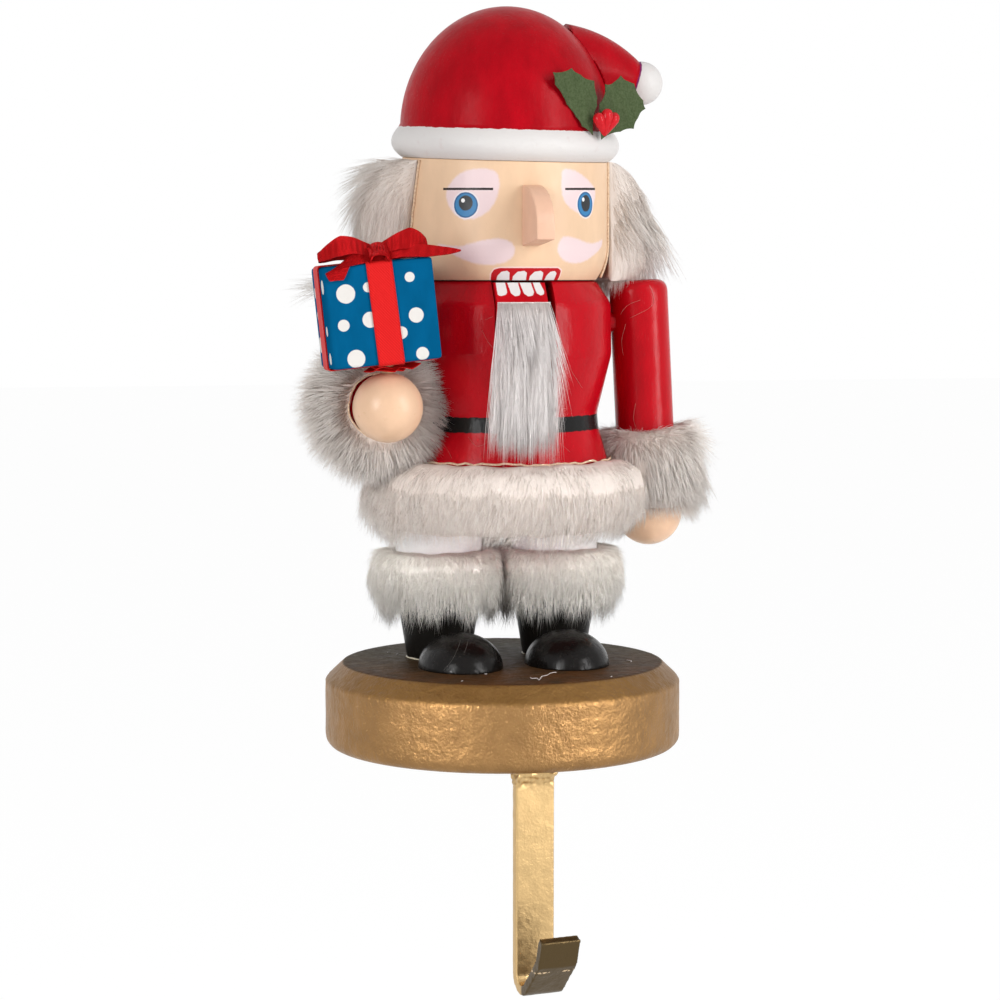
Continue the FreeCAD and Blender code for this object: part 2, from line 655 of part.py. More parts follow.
# Body: turned coat with the jaw's slot, and the hem fur round its lower edge
def make_body(holes):
    body = coat_shape("torso_blank")
    west, east = "slot_x - slot_width / 2", "slot_x + slot_width / 2"
    floor, above = f"{COAT_HEIGHT} - slot_depth", f"{COAT_HEIGHT} + slot_depth"
    slot = outline(body, "slot_outline", "XZ_Plane",
                   [(west, floor), (east, floor), (east, above), (west, above)])
    pocket(body, "slot", slot)
    keep("torso", cut_away("torso_cut", sit(body, BODY_FRAME), *holes))

    inner = f"({SKIRT_RADIUS} + fur_gap)"
    leg_reach = slanted("leg_spacing / 2 + torso_x - legs_x", "leg_y - torso_y")
    under = f"({leg_reach} + trouser_radius + 2 * fur_gap)"
    outer = f"({under} + hem_thickness)"
    high = "hem_low + hem_height"
    ring = turned("coat_fur_ring", [
        (under, "hem_low"),
        (outer, "hem_low", bulge_radius("hem_height", "hem_bulge"), "left"),
        (outer, high),
        (inner, high),
        (inner, "fur_gap"),
        (under, "fur_gap"),
    ])
    room = rod("left_cuff_room", "arm_radius + left_cuff_thickness + left_cuff_bulge + 3 * fur_gap",
               "left_cuff_length + wrist_length")
    sit(room, LEFT_ARM_FRAME, frame(up=f"{SLEEVE_END} - left_cuff_overlap - 2 * fur_gap"))
    other_room = rod("right_cuff_room", "arm_radius + right_cuff_thickness + right_cuff_bulge + 3 * fur_gap",
                     "right_cuff_length + 2 * fur_gap")
    sit(other_room, FOREARM_FRAME, frame(up="arm_radius"))
    keep("coat_fur", cut_away("coat_fur_cut", sit(ring, BODY_FRAME), room, other_room))


# Head: turned, its top cut to the hat's lean, with the glued nose and the fur hair round the back
def make_head(neck_holes, hat_hole):
    blank = turned("head_blank", [
        ("0", "0"),
        (NECK_RADIUS, "0", bulge_radius(slanted(f"{HEAD_RADIUS} - {NECK_RADIUS}", "chin_height"), "chin_bulge"),
         "left"),
        (HEAD_RADIUS, "chin_height"),
        (HEAD_RADIUS, "head_height + brim_height"),
        ("0", "head_height + brim_height"),
    ])
    above = sit(rod("hat_room", f"2 * {HEAD_RADIUS}", "2 * brim_height"), HAT_FRAME)
    keep("head", cut_away("head_cut", sit(blank, NECK_FRAME), above, hat_hole, *neck_holes))

    nose = sawn("nose_blank", "YZ_Plane", [
        ("nose_root", "nose_height"),
        ("-glue_gap", "nose_height",
         bulge_radius(slanted("nose_depth", "nose_height - nose_tip_rise - nose_front_height"), "nose_bulge"),
         "left"),
        ("-nose_depth", "nose_tip_rise + nose_front_height"),
        ("-nose_depth", "nose_tip_rise"),
        ("nose_root", "0"),
    ], "nose_width")
    sit(nose, frame("torso_x + nose_x", f"torso_y - {HEAD_RADIUS}", f"{NECK} + nose_low", yaw="nose_turn"))
    face = sit(rod("face_room", f"{HEAD_RADIUS} + glue_gap", "head_height"), NECK_FRAME)
    keep("nose", cut_away("nose_cut", nose, face))

    inner = f"({HEAD_RADIUS} + fur_gap)"
    low, high = f"({inner} + hair_thickness)", f"({inner} + hair_top_thickness)"
    chord = slanted("hair_thickness - hair_top_thickness", "hair_height")
    hair = turned("hair", [
        (inner, "hair_low"),
        (low, "hair_low", bulge_radius(chord, "hair_bulge"), "left"),
        (high, "hair_low + hair_height"),
        (inner, "hair_low + hair_height"),
    ], "hair_angle")
    back = "(chest_radius + 2 * fur_gap)"
    turn(hair, "curtain", [
        (back, "-curtain_drop"),
        (f"{back} + curtain_thickness", "-curtain_drop"),
        (low, "hair_low + fur_gap"),
        (back, "hair_low + fur_gap"),
    ], "curtain_angle")
    keep("hair", sit(hair, NECK_FRAME))


# Jaw: one sawn lever through the body, its steel pin, and the fur beard on its front
def make_jaw():
    top = "pivot_drop - jaw_gap"
    shoulder = "pivot_drop - shoulder_height"
    back = f"-({JAW_FRONT} - jaw_depth)"
    tail_in, tail_out = "(chest_radius + tail_gap)", "(chest_radius + tail_gap + tail_thickness)"
    tail_low = "-(lever_half_height + tail_length)"
    lever = sawn("jaw_lever", "YZ_Plane", [
        (f"-{NECK_RADIUS}", top),
        (f"-{JAW_FRONT}", shoulder),
        (f"-{JAW_FRONT}", "lever_half_height"),
        (back, "-lever_half_height"),
        (tail_in, "-lever_half_height"),
        (tail_in, tail_low),
        (tail_out, tail_low),
        (tail_out, "lever_half_height - tail_bevel"),
        (f"{tail_out} - tail_bevel", "lever_half_height"),
        (back, "lever_half_height"),
        (back, top),
    ], "jaw_width")
    bore = circles(lever, "pin_circle", "YZ_Plane", [("0", "0", "pin_radius + pin_clearance")])
    pocket(lever, "pin_bore", bore)
    keep("jaw_lever", sit(lever, JAW_FRAME))

    beard = sawn("beard", "XZ_Plane", [
        ("-beard_width / 2", "-beard_length"),
        ("beard_width / 2", "-beard_length"),
        ("beard_top_width / 2", "0"),
        ("-beard_top_width / 2", "0"),
    ], "beard_thickness")
    front = f"torso_y - {JAW_FRONT} - fur_gap - beard_thickness / 2"
    beard_top = f"{NECK} - shoulder_height - fur_gap"
    keep("beard", sit(beard, frame("torso_x + beard_x", front, beard_top, roll="-beard_lean")))

    start = "(slot_x - slot_width / 2 - pin_bite)"
    finish = "(chest_radius - pin_recess)"
    pin_start = frame(f"torso_x + {start}", "torso_y", PIVOT, pitch="90")
    keep("jaw_pin", sit(rod("jaw_pin", "pin_radius", f"{finish} - {start}"), pin_start))
    hole = rod("jaw_pin_hole", "pin_radius + glue_gap", f"{finish} - {start} + pin_recess + peg_room")
    return sit(hole, pin_start)


# Hat: brim and crown turned as one piece, with a separate turned tail that ends in a ball
def make_hat():
    peg_dowel, peg_hole = peg("hat_peg", "peg_radius", "2 * peg_bite", HAT_FRAME)
    keep("hat_peg", peg_dowel)
    brim = turned("brim_blank", [
        ("0", "0"),
        (CROWN_RADIUS, "0", bulge_radius("brim_height", "brim_bulge"), "left"),
        (CROWN_RADIUS, "brim_height"),
        ("0", "brim_height"),
    ])
    sit(brim, HAT_FRAME)
    crown_frame = (HAT_FRAME, frame(up="brim_height"))
    crown = sit(dome("crown_blank", CROWN_RADIUS, CROWN_RADIUS, "crown_height"), *crown_frame)

    tail_axis = frame("torso_x + tail_root_x", "torso_y", f"{HAT_SEAT} + tail_root_z", pitch="90")
    dowel, tail_hole = peg("hat_tail_peg", "peg_radius", "2 * peg_bite", tail_axis, frame(up="peg_bite"))
    keep("hat_tail_peg", dowel)
    keep("hat", cut_away("hat_cut", joined("hat_blank", brim, crown), peg_hole, tail_hole))

    rings = []
    for name, slope in (("root", "0"), ("middle", "tail_end_slope / 2"), ("end", "tail_end_slope")):
        ring = doc.addObject("Part::Circle", f"tail_{name}_ring")
        ring.setExpression("Radius", formula(f"tail_{name}_radius"))
        place = frame(f"torso_x + tail_{name}_x", "torso_y", f"{HAT_SEAT} + tail_{name}_z", pitch=f"90 + {slope}")
        rings.append(sit(ring, place))
    cone = doc.addObject("Part::Loft", "hat_tail_cone")
    cone.Sections = rings
    cone.Solid = True
    end = frame("torso_x + tail_end_x", "torso_y", f"{HAT_SEAT} + tail_end_z", pitch="90 + tail_end_slope")
    pompom = sit(ball("hat_tail_ball", "pompom_radius"), end, frame(up="pompom_offset"))
    seat = dome("crown_room", f"{CROWN_RADIUS} + glue_gap", f"{CROWN_RADIUS} + glue_gap", "crown_height + glue_gap")
    blank = joined("hat_tail_blank", cone, pompom)
    keep("hat_tail", cut_away("hat_tail_cut", blank, sit(seat, *crown_frame), tail_hole))
    return peg_hole


# Holly: two stiff cloth leaves and one moulded cluster of berries, glued to the hat.
# A leaf's corners are shares of its span and rise, from the foot of the holly.
LEFT_LEAF = [(-0.18, 0.0), (-0.11, 0.45), (-0.16, 0.81), (-0.43, 0.90), (-0.61, 1.0),
             (-1.02, 0.92), (-0.97, 0.74), (-0.79, 0.55), (-0.52, 0.26), (-0.40, 0.12)]
RIGHT_LEAF = [(0.0, -0.06), (0.39, 0.06), (0.67, 0.12), (0.75, 0.28), (0.89, 0.43),
              (0.86, 0.55), (0.70, 0.81), (0.39, 0.92), (0.19, 0.78), (0.07, 0.77), (-0.06, 0.47)]


def make_holly():
    for name, shares, shift in (("left", LEFT_LEAF, "-leaf_gap / 2"), ("right", RIGHT_LEAF, "leaf_gap / 2")):
        corners = [(f"{across} * leaf_span", f"{up} * leaf_rise") for across, up in shares]
        leaf = sawn(f"holly_leaf_{name}", "XZ_Plane", corners, "leaf_thickness")
        keep(f"holly_leaf_{name}", sit(leaf, HOLLY_FRAME, frame(shift)))
    berries = []
    for place in (-1, 0, 1):
        lean = f"{place} * berry_fan"
        stem = frame(along="-berry_offset", pitch=lean)
        berry = sit(ball(f"berry_{place + 1}", "berry_radius"), HOLLY_FRAME, stem, frame(up="berry_length"))
        point = doc.addObject("Part::Cone", f"berry_point_{place + 1}")
        point.setExpression("Radius1", formula("berry_radius / 3"))
        point.setExpression("Radius2", formula("berry_radius"))
        point.setExpression("Height", formula("berry_length"))
        berries += [berry, sit(point, HOLLY_FRAME, stem)]
    keep("holly_berries", joined("holly_berry_cluster", *berries))


# Arms: the left hangs straight, the right is mitred at the elbow and holds its forearm forward
def make_arms():
    holes = []
    pegs = []
    arm_holes = {}
    peg_middle = "(chest_radius + arm_gap / 2)"
    for side, sign in SIDES:
        place = frame(f"torso_x {sign} {peg_middle}", "torso_y", f"{NECK} - arm_peg_drop", pitch="90")
        dowel, hole = peg(f"{side}_arm_peg", "arm_peg_radius", "2 * arm_peg_bite", place)
        pegs.append(dowel)
        holes.append(hole)
        arm_holes[side] = hole
    keep("arm_pegs", grouped("arm_peg_pair", *pegs))

    rounded_top = [
        ("0", "0"),
        ("arm_radius - arm_top_round", "0", "arm_top_round", "left"),
        ("arm_radius", "arm_top_round"),
    ]
    # Left arm, in a frame that runs down the sleeve
    hand_down = f"({SLEEVE_END} + wrist_length)"
    left = turned("left_arm_blank", rounded_top + [
        ("arm_radius", "arm_length"),
        ("band_radius", "arm_length"),
        ("band_radius", SLEEVE_END),
        ("0", SLEEVE_END),
    ])
    wrist_peg = f"({hand_down} - hand_radius / 2 - {SLEEVE_END} + peg_bite)"
    dowel, hole = peg("left_wrist_peg", "peg_radius", wrist_peg,
                      LEFT_ARM_FRAME, frame(up=f"{SLEEVE_END} - peg_bite + {wrist_peg} / 2"))
    keep("left_wrist_peg", dowel)
    keep("left_arm", cut_away("left_arm_cut", sit(left, LEFT_ARM_FRAME), arm_holes["left"], hole))
    hand = sit(ball("left_hand_blank", "hand_radius"), LEFT_ARM_FRAME, frame(up=hand_down))
    keep("left_hand", cut_away("left_hand_cut", hand, hole))
    sleeve, wrist = "(arm_radius + fur_gap)", "(peg_radius + fur_gap)"
    edge = f"({sleeve} + left_cuff_thickness)"
    start, step = f"{SLEEVE_END} - left_cuff_overlap", f"{SLEEVE_END} + fur_gap"
    end = f"{start} + left_cuff_length"
    cuff = turned("left_cuff_ring", [
        (wrist, step),
        (sleeve, step),
        (sleeve, start),
        (edge, start, bulge_radius("left_cuff_length", "left_cuff_bulge"), "left"),
        (edge, end),
        (wrist, end),
    ])
    room = sit(ball("left_hand_room", "hand_radius + fur_gap"), LEFT_ARM_FRAME, frame(up=hand_down))
    coat = sit(coat_shape("coat_room", "fur_gap"), BODY_FRAME)
    keep("left_cuff_fur", cut_away("left_cuff_cut", sit(cuff, LEFT_ARM_FRAME), room, coat))

    # Right arm: the forearm's frame runs forward from the elbow
    side_length = "6 * arm_radius"
    mitre = sit(sawn("mitre_block", "XY_Plane", rectangle(side_length, side_length), side_length, True),
                MITRE_FRAME)
    dowel, hole = peg("elbow_peg", "elbow_peg_radius", "elbow_peg_length", MITRE_FRAME)
    keep("elbow_peg", dowel)
    upper = turned("right_upper_arm_blank", rounded_top + [
        ("arm_radius", "elbow_drop + arm_radius"),
        ("0", "elbow_drop + arm_radius"),
    ])
    keep("right_upper_arm", cut_away("right_upper_arm_cut", sit(upper, RIGHT_ARM_FRAME), mitre,
                                     arm_holes["right"], hole))
    fore = turned("right_forearm_blank", [
        ("0", "-arm_radius"),
        ("arm_radius", "-arm_radius"),
        ("arm_radius", "forearm_length - band_length"),
        ("band_radius", "forearm_length - band_length"),
        ("band_radius", "forearm_length"),
        ("0", "forearm_length"),
    ])
    mitred = doc.addObject("Part::Common", "right_forearm_mitred")
    mitred.Base = sit(fore, FOREARM_FRAME)
    mitred.Tool = mitre
    peg_start = "(forearm_length - peg_bite / 2)"
    wrist_peg = f"(forearm_reach - hand_radius / 2 - {peg_start})"
    dowel, wrist_hole = peg("right_wrist_peg", "elbow_peg_radius", wrist_peg,
                            FOREARM_FRAME, frame(up=f"{peg_start} + {wrist_peg} / 2"))
    keep("right_wrist_peg", dowel)
    keep("right_forearm", cut_away("right_forearm_cut", mitred, hole, wrist_hole))
    hand = sit(ball("right_hand_blank", "hand_radius"), FOREARM_FRAME, frame(up="forearm_reach"))

    edge = f"({sleeve} + right_cuff_thickness)"
    cuff = turned("right_cuff_ring", [
        (sleeve, sleeve),
        (edge, sleeve, bulge_radius("right_cuff_length", "right_cuff_bulge"), "left"),
        (edge, f"{sleeve} + right_cuff_length"),
        (sleeve, f"{sleeve} + right_cuff_length"),
    ])
    keep("right_cuff_fur", cut_away("right_cuff_cut", sit(cuff, FOREARM_FRAME), coat))

    gift_peg_place = frame(RIGHT_ARM_X, HAND_Y, f"{HAND_TOP} + gift_rise / 2")
    dowel, gift_hole = peg("gift_peg", "gift_peg_radius", "gift_rise + 2 * gift_peg_bite", gift_peg_place)
    keep("gift_peg", dowel)
    keep("right_hand", cut_away("right_hand_cut", hand, wrist_hole, gift_hole))
    return holes, gift_hole


# Gift: a solid wooden box with a ribbon round it both ways and a bow on top
def make_gift(peg_hole):
    box = block("gift_box_blank", "gift_width", "gift_depth", "gift_height")
    doc.recompute()
    sharp = box.Tip
    rounding = box.newObject("PartDesign::Fillet", "gift_box_edges")
    rounding.Base = (sharp, [f"Edge{count + 1}" for count in range(len(sharp.Shape.Edges))])
    rounding.setExpression("Radius", formula("gift_edge"))
    box.Tip = rounding
    keep("gift_box", cut_away("gift_box_cut", sit(box, GIFT_FRAME), peg_hole))

    thick = "2 * (ribbon_thickness + glue_gap)"
    upright = sit(block("ribbon_front_band", "ribbon_width", f"gift_depth + {thick}",
                        f"gift_height + {thick}"), GIFT_FRAME)
    sideways = sit(block("ribbon_side_band", f"gift_width + {thick}", "ribbon_width",
                         f"gift_height + {thick}"), GIFT_FRAME)
    fold_frame = frame(RIGHT_ARM_X, HAND_Y, f"{HAND_TOP} + fur_gap", pitch="-gift_roll")
    fold = sit(rod("ribbon_fold", "fold_radius", "2 * gift_rise"), fold_frame)
    room = sit(block("gift_room", "gift_width + 2 * glue_gap", "gift_depth + 2 * glue_gap",
                     "gift_height + 2 * glue_gap"), GIFT_FRAME)
    bands = joined("ribbon_blank", upright, sideways, fold)
    keep("gift_ribbon", cut_away("gift_ribbon_cut", bands, room, peg_hole))
    make_bow()


def ribbon_loop(length, height, width, thickness, sign):
    """One loop of the bow: a flattened teardrop of ribbon, open along its width."""
    foot = Vector(0, 0, 0)
    tip = Vector(sign * length, 0, height * 0.35)
    upper = Part.Arc(foot, Vector(sign * length * 0.55, 0, height), tip)
    lowest = Vector(sign * length * 0.8, 0, 0)
    lower = [Part.LineSegment(tip, lowest), Part.LineSegment(lowest, foot)]
    teardrop = Part.Face(Part.Wire([edge.toShape() for edge in (upper, *lower)]))
    inside = teardrop.makeOffset2D(-thickness)
    band = teardrop.cut(inside).extrude(Vector(0, width, 0))
    band.translate(Vector(0, -width / 2, 0))
    return band


def make_bow():
    """The bow is folded ribbon, so its shape is set here from the sheet's sizes."""
    length, height = number("bow_loop_length"), number("bow_loop_height")
    width, thickness = number("ribbon_width"), number("ribbon_thickness")
    front = -number("gift_depth") / 2 - 2 * thickness - 2 * number("glue_gap")
    knot_radius, drape = number("bow_knot_radius"), number("bow_drape")
    loops = [ribbon_loop(length, height, width, 2 * thickness, sign) for sign in (-1, 1)]
    knot = Part.makeCylinder(knot_radius, width, Vector(0, -width / 2, knot_radius), Vector(0, 1, 0))
    corners = [Vector(0, -width / 2, 0), Vector(number("bow_tail_length"), -width / 2, 0), Vector(0, width / 2, 0)]
    tail = Part.Face(Part.makePolygon(corners + corners[:1])).extrude(Vector(0, 0, thickness))
    over = Part.makeBox(length - knot_radius, -front, thickness, Vector(-length, front, 0))
    hanging = Part.makeBox(width, thickness, drape, Vector(-length, front, thickness - drape))
    bow = doc.addObject("Part::Feature", "gift_bow")
    bow.Shape = loops[0].multiFuse([loops[1], knot, tail, over, hanging]).removeSplitter()
    top = "gift_height / 2 + ribbon_thickness + 3 * glue_gap"
    keep("gift_bow", sit(bow, GIFT_FRAME, frame("bow_x", up=top)))


make_base()
make_hook()
leg_peg_holes = make_legs()
arm_peg_holes, gift_peg_hole = make_arms()
jaw_pin_hole = make_jaw()
hat_peg_hole = make_hat()
neck_pegs, neck_peg_holes = [], []
for side, sign in SIDES:
    neck_place = frame(f"torso_x {sign} neck_peg_spacing / 2", "torso_y", NECK)
    neck_dowel, neck_hole = peg(f"{side}_neck_peg", "neck_peg_radius", "2 * neck_peg_bite", neck_place)
    neck_pegs.append(neck_dowel)
    neck_peg_holes.append(neck_hole)
keep("neck_pegs", grouped("neck_peg_pair", *neck_pegs))
make_body([*leg_peg_holes, *arm_peg_holes, jaw_pin_hole, *neck_peg_holes])
make_head(neck_peg_holes, hat_peg_hole)
make_holly()
make_gift(gift_peg_hole)
for label, thing in pieces.items():
    thing.Label = label
doc.recompute()

# Nothing is written unless every object is sound
for item in doc.Objects:
    if "Invalid" in item.State or "Error" in item.State:
        raise RuntimeError(f"{item.Label} failed: {item.State}")
for label, thing in pieces.items():
    if thing.Shape.isNull() or not thing.Shape.isValid() or not thing.Shape.Solids:
        raise RuntimeError(f"{label} is not a sound solid")
os.makedirs("parts", exist_ok=True)
for label, thing in pieces.items():
    thing.Shape.exportStep(f"parts/{label}.step")
    box = thing.Shape.BoundBox
    print(f"{label}: {len(thing.Shape.Solids)} solid(s), {thing.Shape.Volume:.0f} mm3, "
          f"x {box.XMin:.1f} to {box.XMax:.1f}, y {box.YMin:.1f} to {box.YMax:.1f}, "
          f"z {box.ZMin:.1f} to {box.ZMax:.1f}")
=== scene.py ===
"""Looks of a mantel stocking holder: a turned wooden figure in a fur-trimmed red coat and cap,
with a wrapped gift in its hand, on a gold-painted cast base with a steel strap hook below.

Sizes in this file are in millimetres and become metres where a mesh is made.
"""
import json
import logging
import math
from collections.abc import Callable, Sequence
from dataclasses import dataclass, field
from enum import Enum

import bmesh
import bpy
import numpy as np
from mathutils import Matrix, Vector, noise
from mathutils.bvhtree import BVHTree
from mathutils.geometry import delaunay_2d_cdt

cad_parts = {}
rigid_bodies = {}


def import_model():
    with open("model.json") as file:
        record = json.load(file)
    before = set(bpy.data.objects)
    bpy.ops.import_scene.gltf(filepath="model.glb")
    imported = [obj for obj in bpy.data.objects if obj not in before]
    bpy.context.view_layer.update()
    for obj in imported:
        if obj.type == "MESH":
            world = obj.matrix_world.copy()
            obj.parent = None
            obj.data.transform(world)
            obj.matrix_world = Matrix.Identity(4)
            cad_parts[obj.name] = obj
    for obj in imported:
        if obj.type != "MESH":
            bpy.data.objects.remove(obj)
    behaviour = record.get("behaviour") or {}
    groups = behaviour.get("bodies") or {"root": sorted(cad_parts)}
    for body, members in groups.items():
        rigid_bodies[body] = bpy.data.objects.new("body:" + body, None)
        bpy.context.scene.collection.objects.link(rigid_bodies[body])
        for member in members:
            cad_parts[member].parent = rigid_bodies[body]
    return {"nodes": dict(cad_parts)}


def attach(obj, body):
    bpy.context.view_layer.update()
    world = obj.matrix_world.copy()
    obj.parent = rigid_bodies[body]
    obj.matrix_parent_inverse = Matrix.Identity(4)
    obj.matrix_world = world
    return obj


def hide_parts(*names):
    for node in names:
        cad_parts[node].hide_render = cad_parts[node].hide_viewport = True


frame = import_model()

log = logging.getLogger("stocking_holder")

MM = 0.001
Point = tuple[float, float]
Colour = tuple[float, float, float]


class Hair(Enum):
    """Kinds of hair: its rings of corners, its girth and its bend over its length."""

    SHORT = ((0.0, 0.5), 0.0085, 0.32)
    FINE = ((0.0, 0.45), 0.0058, 0.26)
    LONG = ((0.0, 0.35, 0.75), 0.0030, 0.045)


class Body(Enum):
    """The two bodies that pieces ride on."""

    HOLDER = "holder"
    JAW = "jaw"


# Shaping tools


def place(x: float, y: float, z: float, yaw: float = 0, pitch: float = 0, roll: float = 0) -> Matrix:
    """A frame in the row's millimetres, turned about Z, then its Y, then its X, in degrees."""
    turn = [Matrix.Rotation(math.radians(angle), 4, axis) for angle,
            axis in ((yaw, "Z"), (pitch, "Y"), (roll, "X"))]
    return Matrix.Translation((x, y, z)) @ turn[0] @ turn[1] @ turn[2]


def moved(points: np.ndarray, matrix: Matrix) -> np.ndarray:
    """Points taken from a frame to the row's own.

    Args:
        points: rows of x, y, z.
        matrix: the frame they are given in.

    Returns:
        The same rows in the row frame.
    """
    table = np.array(matrix)
    return points @ table[:3, :3].T + table[:3, 3]


def dark_at(points: np.ndarray, size: float, seed: float) -> np.ndarray:
    """Smooth noise between -1 and 1 at each point.

    Args:
        points: rows of x, y, z.
        size: width of a lump.
        seed: shifts the pattern.

    Returns:
        One value for each row.
    """
    shift = Vector((seed * 7.31, seed * 3.17, seed * 1.73))
    return np.array([noise.noise(Vector(point) / size + shift) for point in points])


def rounded(corners: Sequence[Point], radius: float, step: float) -> list[Point]:
    """An open profile with its inner corners rounded and its runs divided.

    Args:
        corners: points of the sharp profile.
        radius: how far from each corner the rounding starts.
        step: longest piece of the result.

    Returns:
        Points of the soft profile.
    """
    soft: list[np.ndarray] = [np.array(corners[0], float)]
    for before, corner, after in zip(corners, corners[1:], corners[2:]):
        a, b, c = (np.array(point, float) for point in (before, corner, after))
        reach = min(radius, np.linalg.norm(b - a) / 2.1, np.linalg.norm(c - b) / 2.1)
        start = b + (a - b) / np.linalg.norm(a - b) * reach
        end = b + (c - b) / np.linalg.norm(c - b) * reach
        for share in (0.0, 0.25, 0.5, 0.75, 1.0):
            soft.append((1 - share) ** 2 * start + 2 * share * (1 - share) * b + share ** 2 * end)
    soft.append(np.array(corners[-1], float))
    result = [soft[0]]
    for point in soft[1:]:
        run = np.linalg.norm(point - result[-1])
        if run < 1e-6:
            continue
        parts = max(1, math.ceil(run / step))
        first = result[-1]
        result += [first + (point - first) * (part / parts) for part in range(1, parts + 1)]
    return [(float(point[0]), float(point[1])) for point in result]


def arc(start: Point, end: Point, bulge: float, parts: int) -> list[Point]:
    """Points between two others on a curve that stands out to the right of the way.

    Args:
        start: first point, left out of the result.
        end: last point, left out too.
        bulge: height of the curve over the straight line.
        parts: how many pieces the curve has.

    Returns:
        The points in between.
    """
    a, b = np.array(start, float), np.array(end, float)
    side = np.array([(b - a)[1], -(b - a)[0]]) / np.linalg.norm(b - a)
    shares = [part / parts for part in range(1, parts)]
    return [tuple(a + (b - a) * share + side * bulge * 4 * share * (1 - share)) for share in shares]


def lathe(profile: Sequence[Point], sides: int, sweep: float = 360) -> tuple[np.ndarray,
                                                                             list[tuple[int, ...]]]:
    """A turned shape about Z.

    Args:
        profile: radius and height from the bottom up. A full turn starts and ends on the axis or
            returns to its first point, which closes it as a ring.
        sides: steps round the turn.
        sweep: degrees turned, centred on +Y.

    Returns:
        Points and faces, which point outwards.
    """
    ring = profile[0] == profile[-1]
    rows = list(profile[:-1] if ring else profile)
    full = sweep >= 360
    count = sides if full else sides + 1
    start = 0.0 if full else math.radians(90 - sweep / 2)
    angles = start + np.arange(count) * math.radians(sweep) / sides
    points = np.array([(r * math.cos(a), r * math.sin(a), z) for r, z in rows for a in angles])
    faces: list[tuple[int, ...]] = []
    pairs = [(row, row + 1) for row in range(len(rows) - 1)] + ([(len(rows) - 1, 0)] if ring else [])
    for low, high in pairs:
        for side in range(sides):
            after = (side + 1) % count
            faces.append((low * count + side, low * count + after, high * count + after, high * count + side))
    if not full:
        faces.append(tuple(row * count for row in range(len(rows))))
        faces.append(tuple(row * count + sides for row in reversed(range(len(rows)))))
    return points, faces


def make(name: str, points: np.ndarray, faces: Sequence[Sequence[int]],
         sharp: float = 40) -> bpy.types.Object:
    """A finished mesh object at the origin.

    Args:
        name: the piece's name.
        points: rows of x, y, z in millimetres in the row frame.
        faces: corners of each face.
        sharp: degrees past which an edge stays sharp.

    Returns:
        The object, linked to the scene.
    """
    mesh = bpy.data.meshes.new(name)
    mesh.from_pydata((np.asarray(points) * MM).tolist(), [], [list(face) for face in faces])
    shape = bmesh.new()
    shape.from_mesh(mesh)
    bmesh.ops.remove_doubles(shape, verts=shape.verts, dist=1e-6)
    bmesh.ops.dissolve_degenerate(shape, edges=shape.edges, dist=1e-7)
    shape.to_mesh(mesh)
    shape.free()
    piece = bpy.data.objects.new(name, mesh)
    bpy.context.scene.collection.objects.link(piece)
    soften(piece, sharp)
    return piece


def face_out(piece: bpy.types.Object) -> None:
    """Turns all faces of a closed piece outwards."""
    shape = bmesh.new()
    shape.from_mesh(piece.data)
    bmesh.ops.recalc_face_normals(shape, faces=shape.faces)
    shape.to_mesh(piece.data)
    shape.free()


def soften(piece: bpy.types.Object, sharp: float) -> None:
    """Smooth shading, with edges past an angle in degrees left sharp."""
    piece.data.shade_smooth()
    piece.data.set_sharp_from_angle(angle=math.radians(sharp))


def corners_of(piece: bpy.types.Object) -> np.ndarray:
    """The piece's points in millimetres."""
    flat = np.empty(len(piece.data.vertices) * 3)
    piece.data.vertices.foreach_get("co", flat)
    return flat.reshape(-1, 3) / MM


def normals_of(piece: bpy.types.Object) -> np.ndarray:
    """The direction that each point of the piece faces."""
    return np.array([vertex.normal for vertex in piece.data.vertices])


def reshape(piece: bpy.types.Object, points: np.ndarray) -> None:
    """Puts the piece's points where they are given, in millimetres."""
    piece.data.vertices.foreach_set("co", (points * MM).ravel())
    piece.data.update()


def tag(piece: bpy.types.Object, name: str, values: np.ndarray) -> None:
    """Stores a number or a direction at each point, for materials and pile to read.

    Args:
        piece: the mesh object.
        name: the attribute's name.
        values: one number, or one row of three, for each point.
    """
    vector = values.ndim == 2
    kind = "FLOAT_VECTOR" if vector else "FLOAT"
    store = piece.data.attributes.new(name, kind, "POINT")
    store.data.foreach_set("vector" if vector else "value", values.astype(np.float32).ravel())


def settle(piece: bpy.types.Object) -> bpy.types.Object:
    """Turns the piece's modifiers into plain mesh and removes them."""
    graph = bpy.context.evaluated_depsgraph_get()
    mesh = bpy.data.meshes.new_from_object(piece.evaluated_get(graph))
    old = piece.data
    piece.modifiers.clear()
    piece.data = mesh
    mesh.name = piece.name
    bpy.data.meshes.remove(old)
    return piece


def cad_copy(node: str, name: str, sharp: float = 30) -> bpy.types.Object:
    """The node's own shape as a new piece with joined, smooth faces."""
    shape = bmesh.new()
    shape.from_mesh(frame["nodes"][node].data)
    bmesh.ops.remove_doubles(shape, verts=shape.verts, dist=2e-6)
    mesh = bpy.data.meshes.new(name)
    shape.to_mesh(mesh)
    shape.free()
    mesh.materials.clear()
    piece = bpy.data.objects.new(name, mesh)
    bpy.context.scene.collection.objects.link(piece)
    soften(piece, sharp)
    return piece


def worn_copy(node: str, name: str, grain: float, rounds: int) -> bpy.types.Object:
    """The node's shape in small even faces with its edges worn soft.

    Args:
        node: the CAD node.
        name: the new piece's name.
        grain: width of a face in millimetres.
        rounds: how often the edges are smoothed.

    Returns:
        The new piece.
    """
    piece = cad_copy(node, name)
    remesh = piece.modifiers.new("even", "REMESH")
    remesh.mode = "VOXEL"
    remesh.voxel_size = grain * MM
    smooth = piece.modifiers.new("worn", "SMOOTH")
    smooth.factor = 0.5
    smooth.iterations = rounds
    settle(piece)
    soften(piece, 180)
    return piece


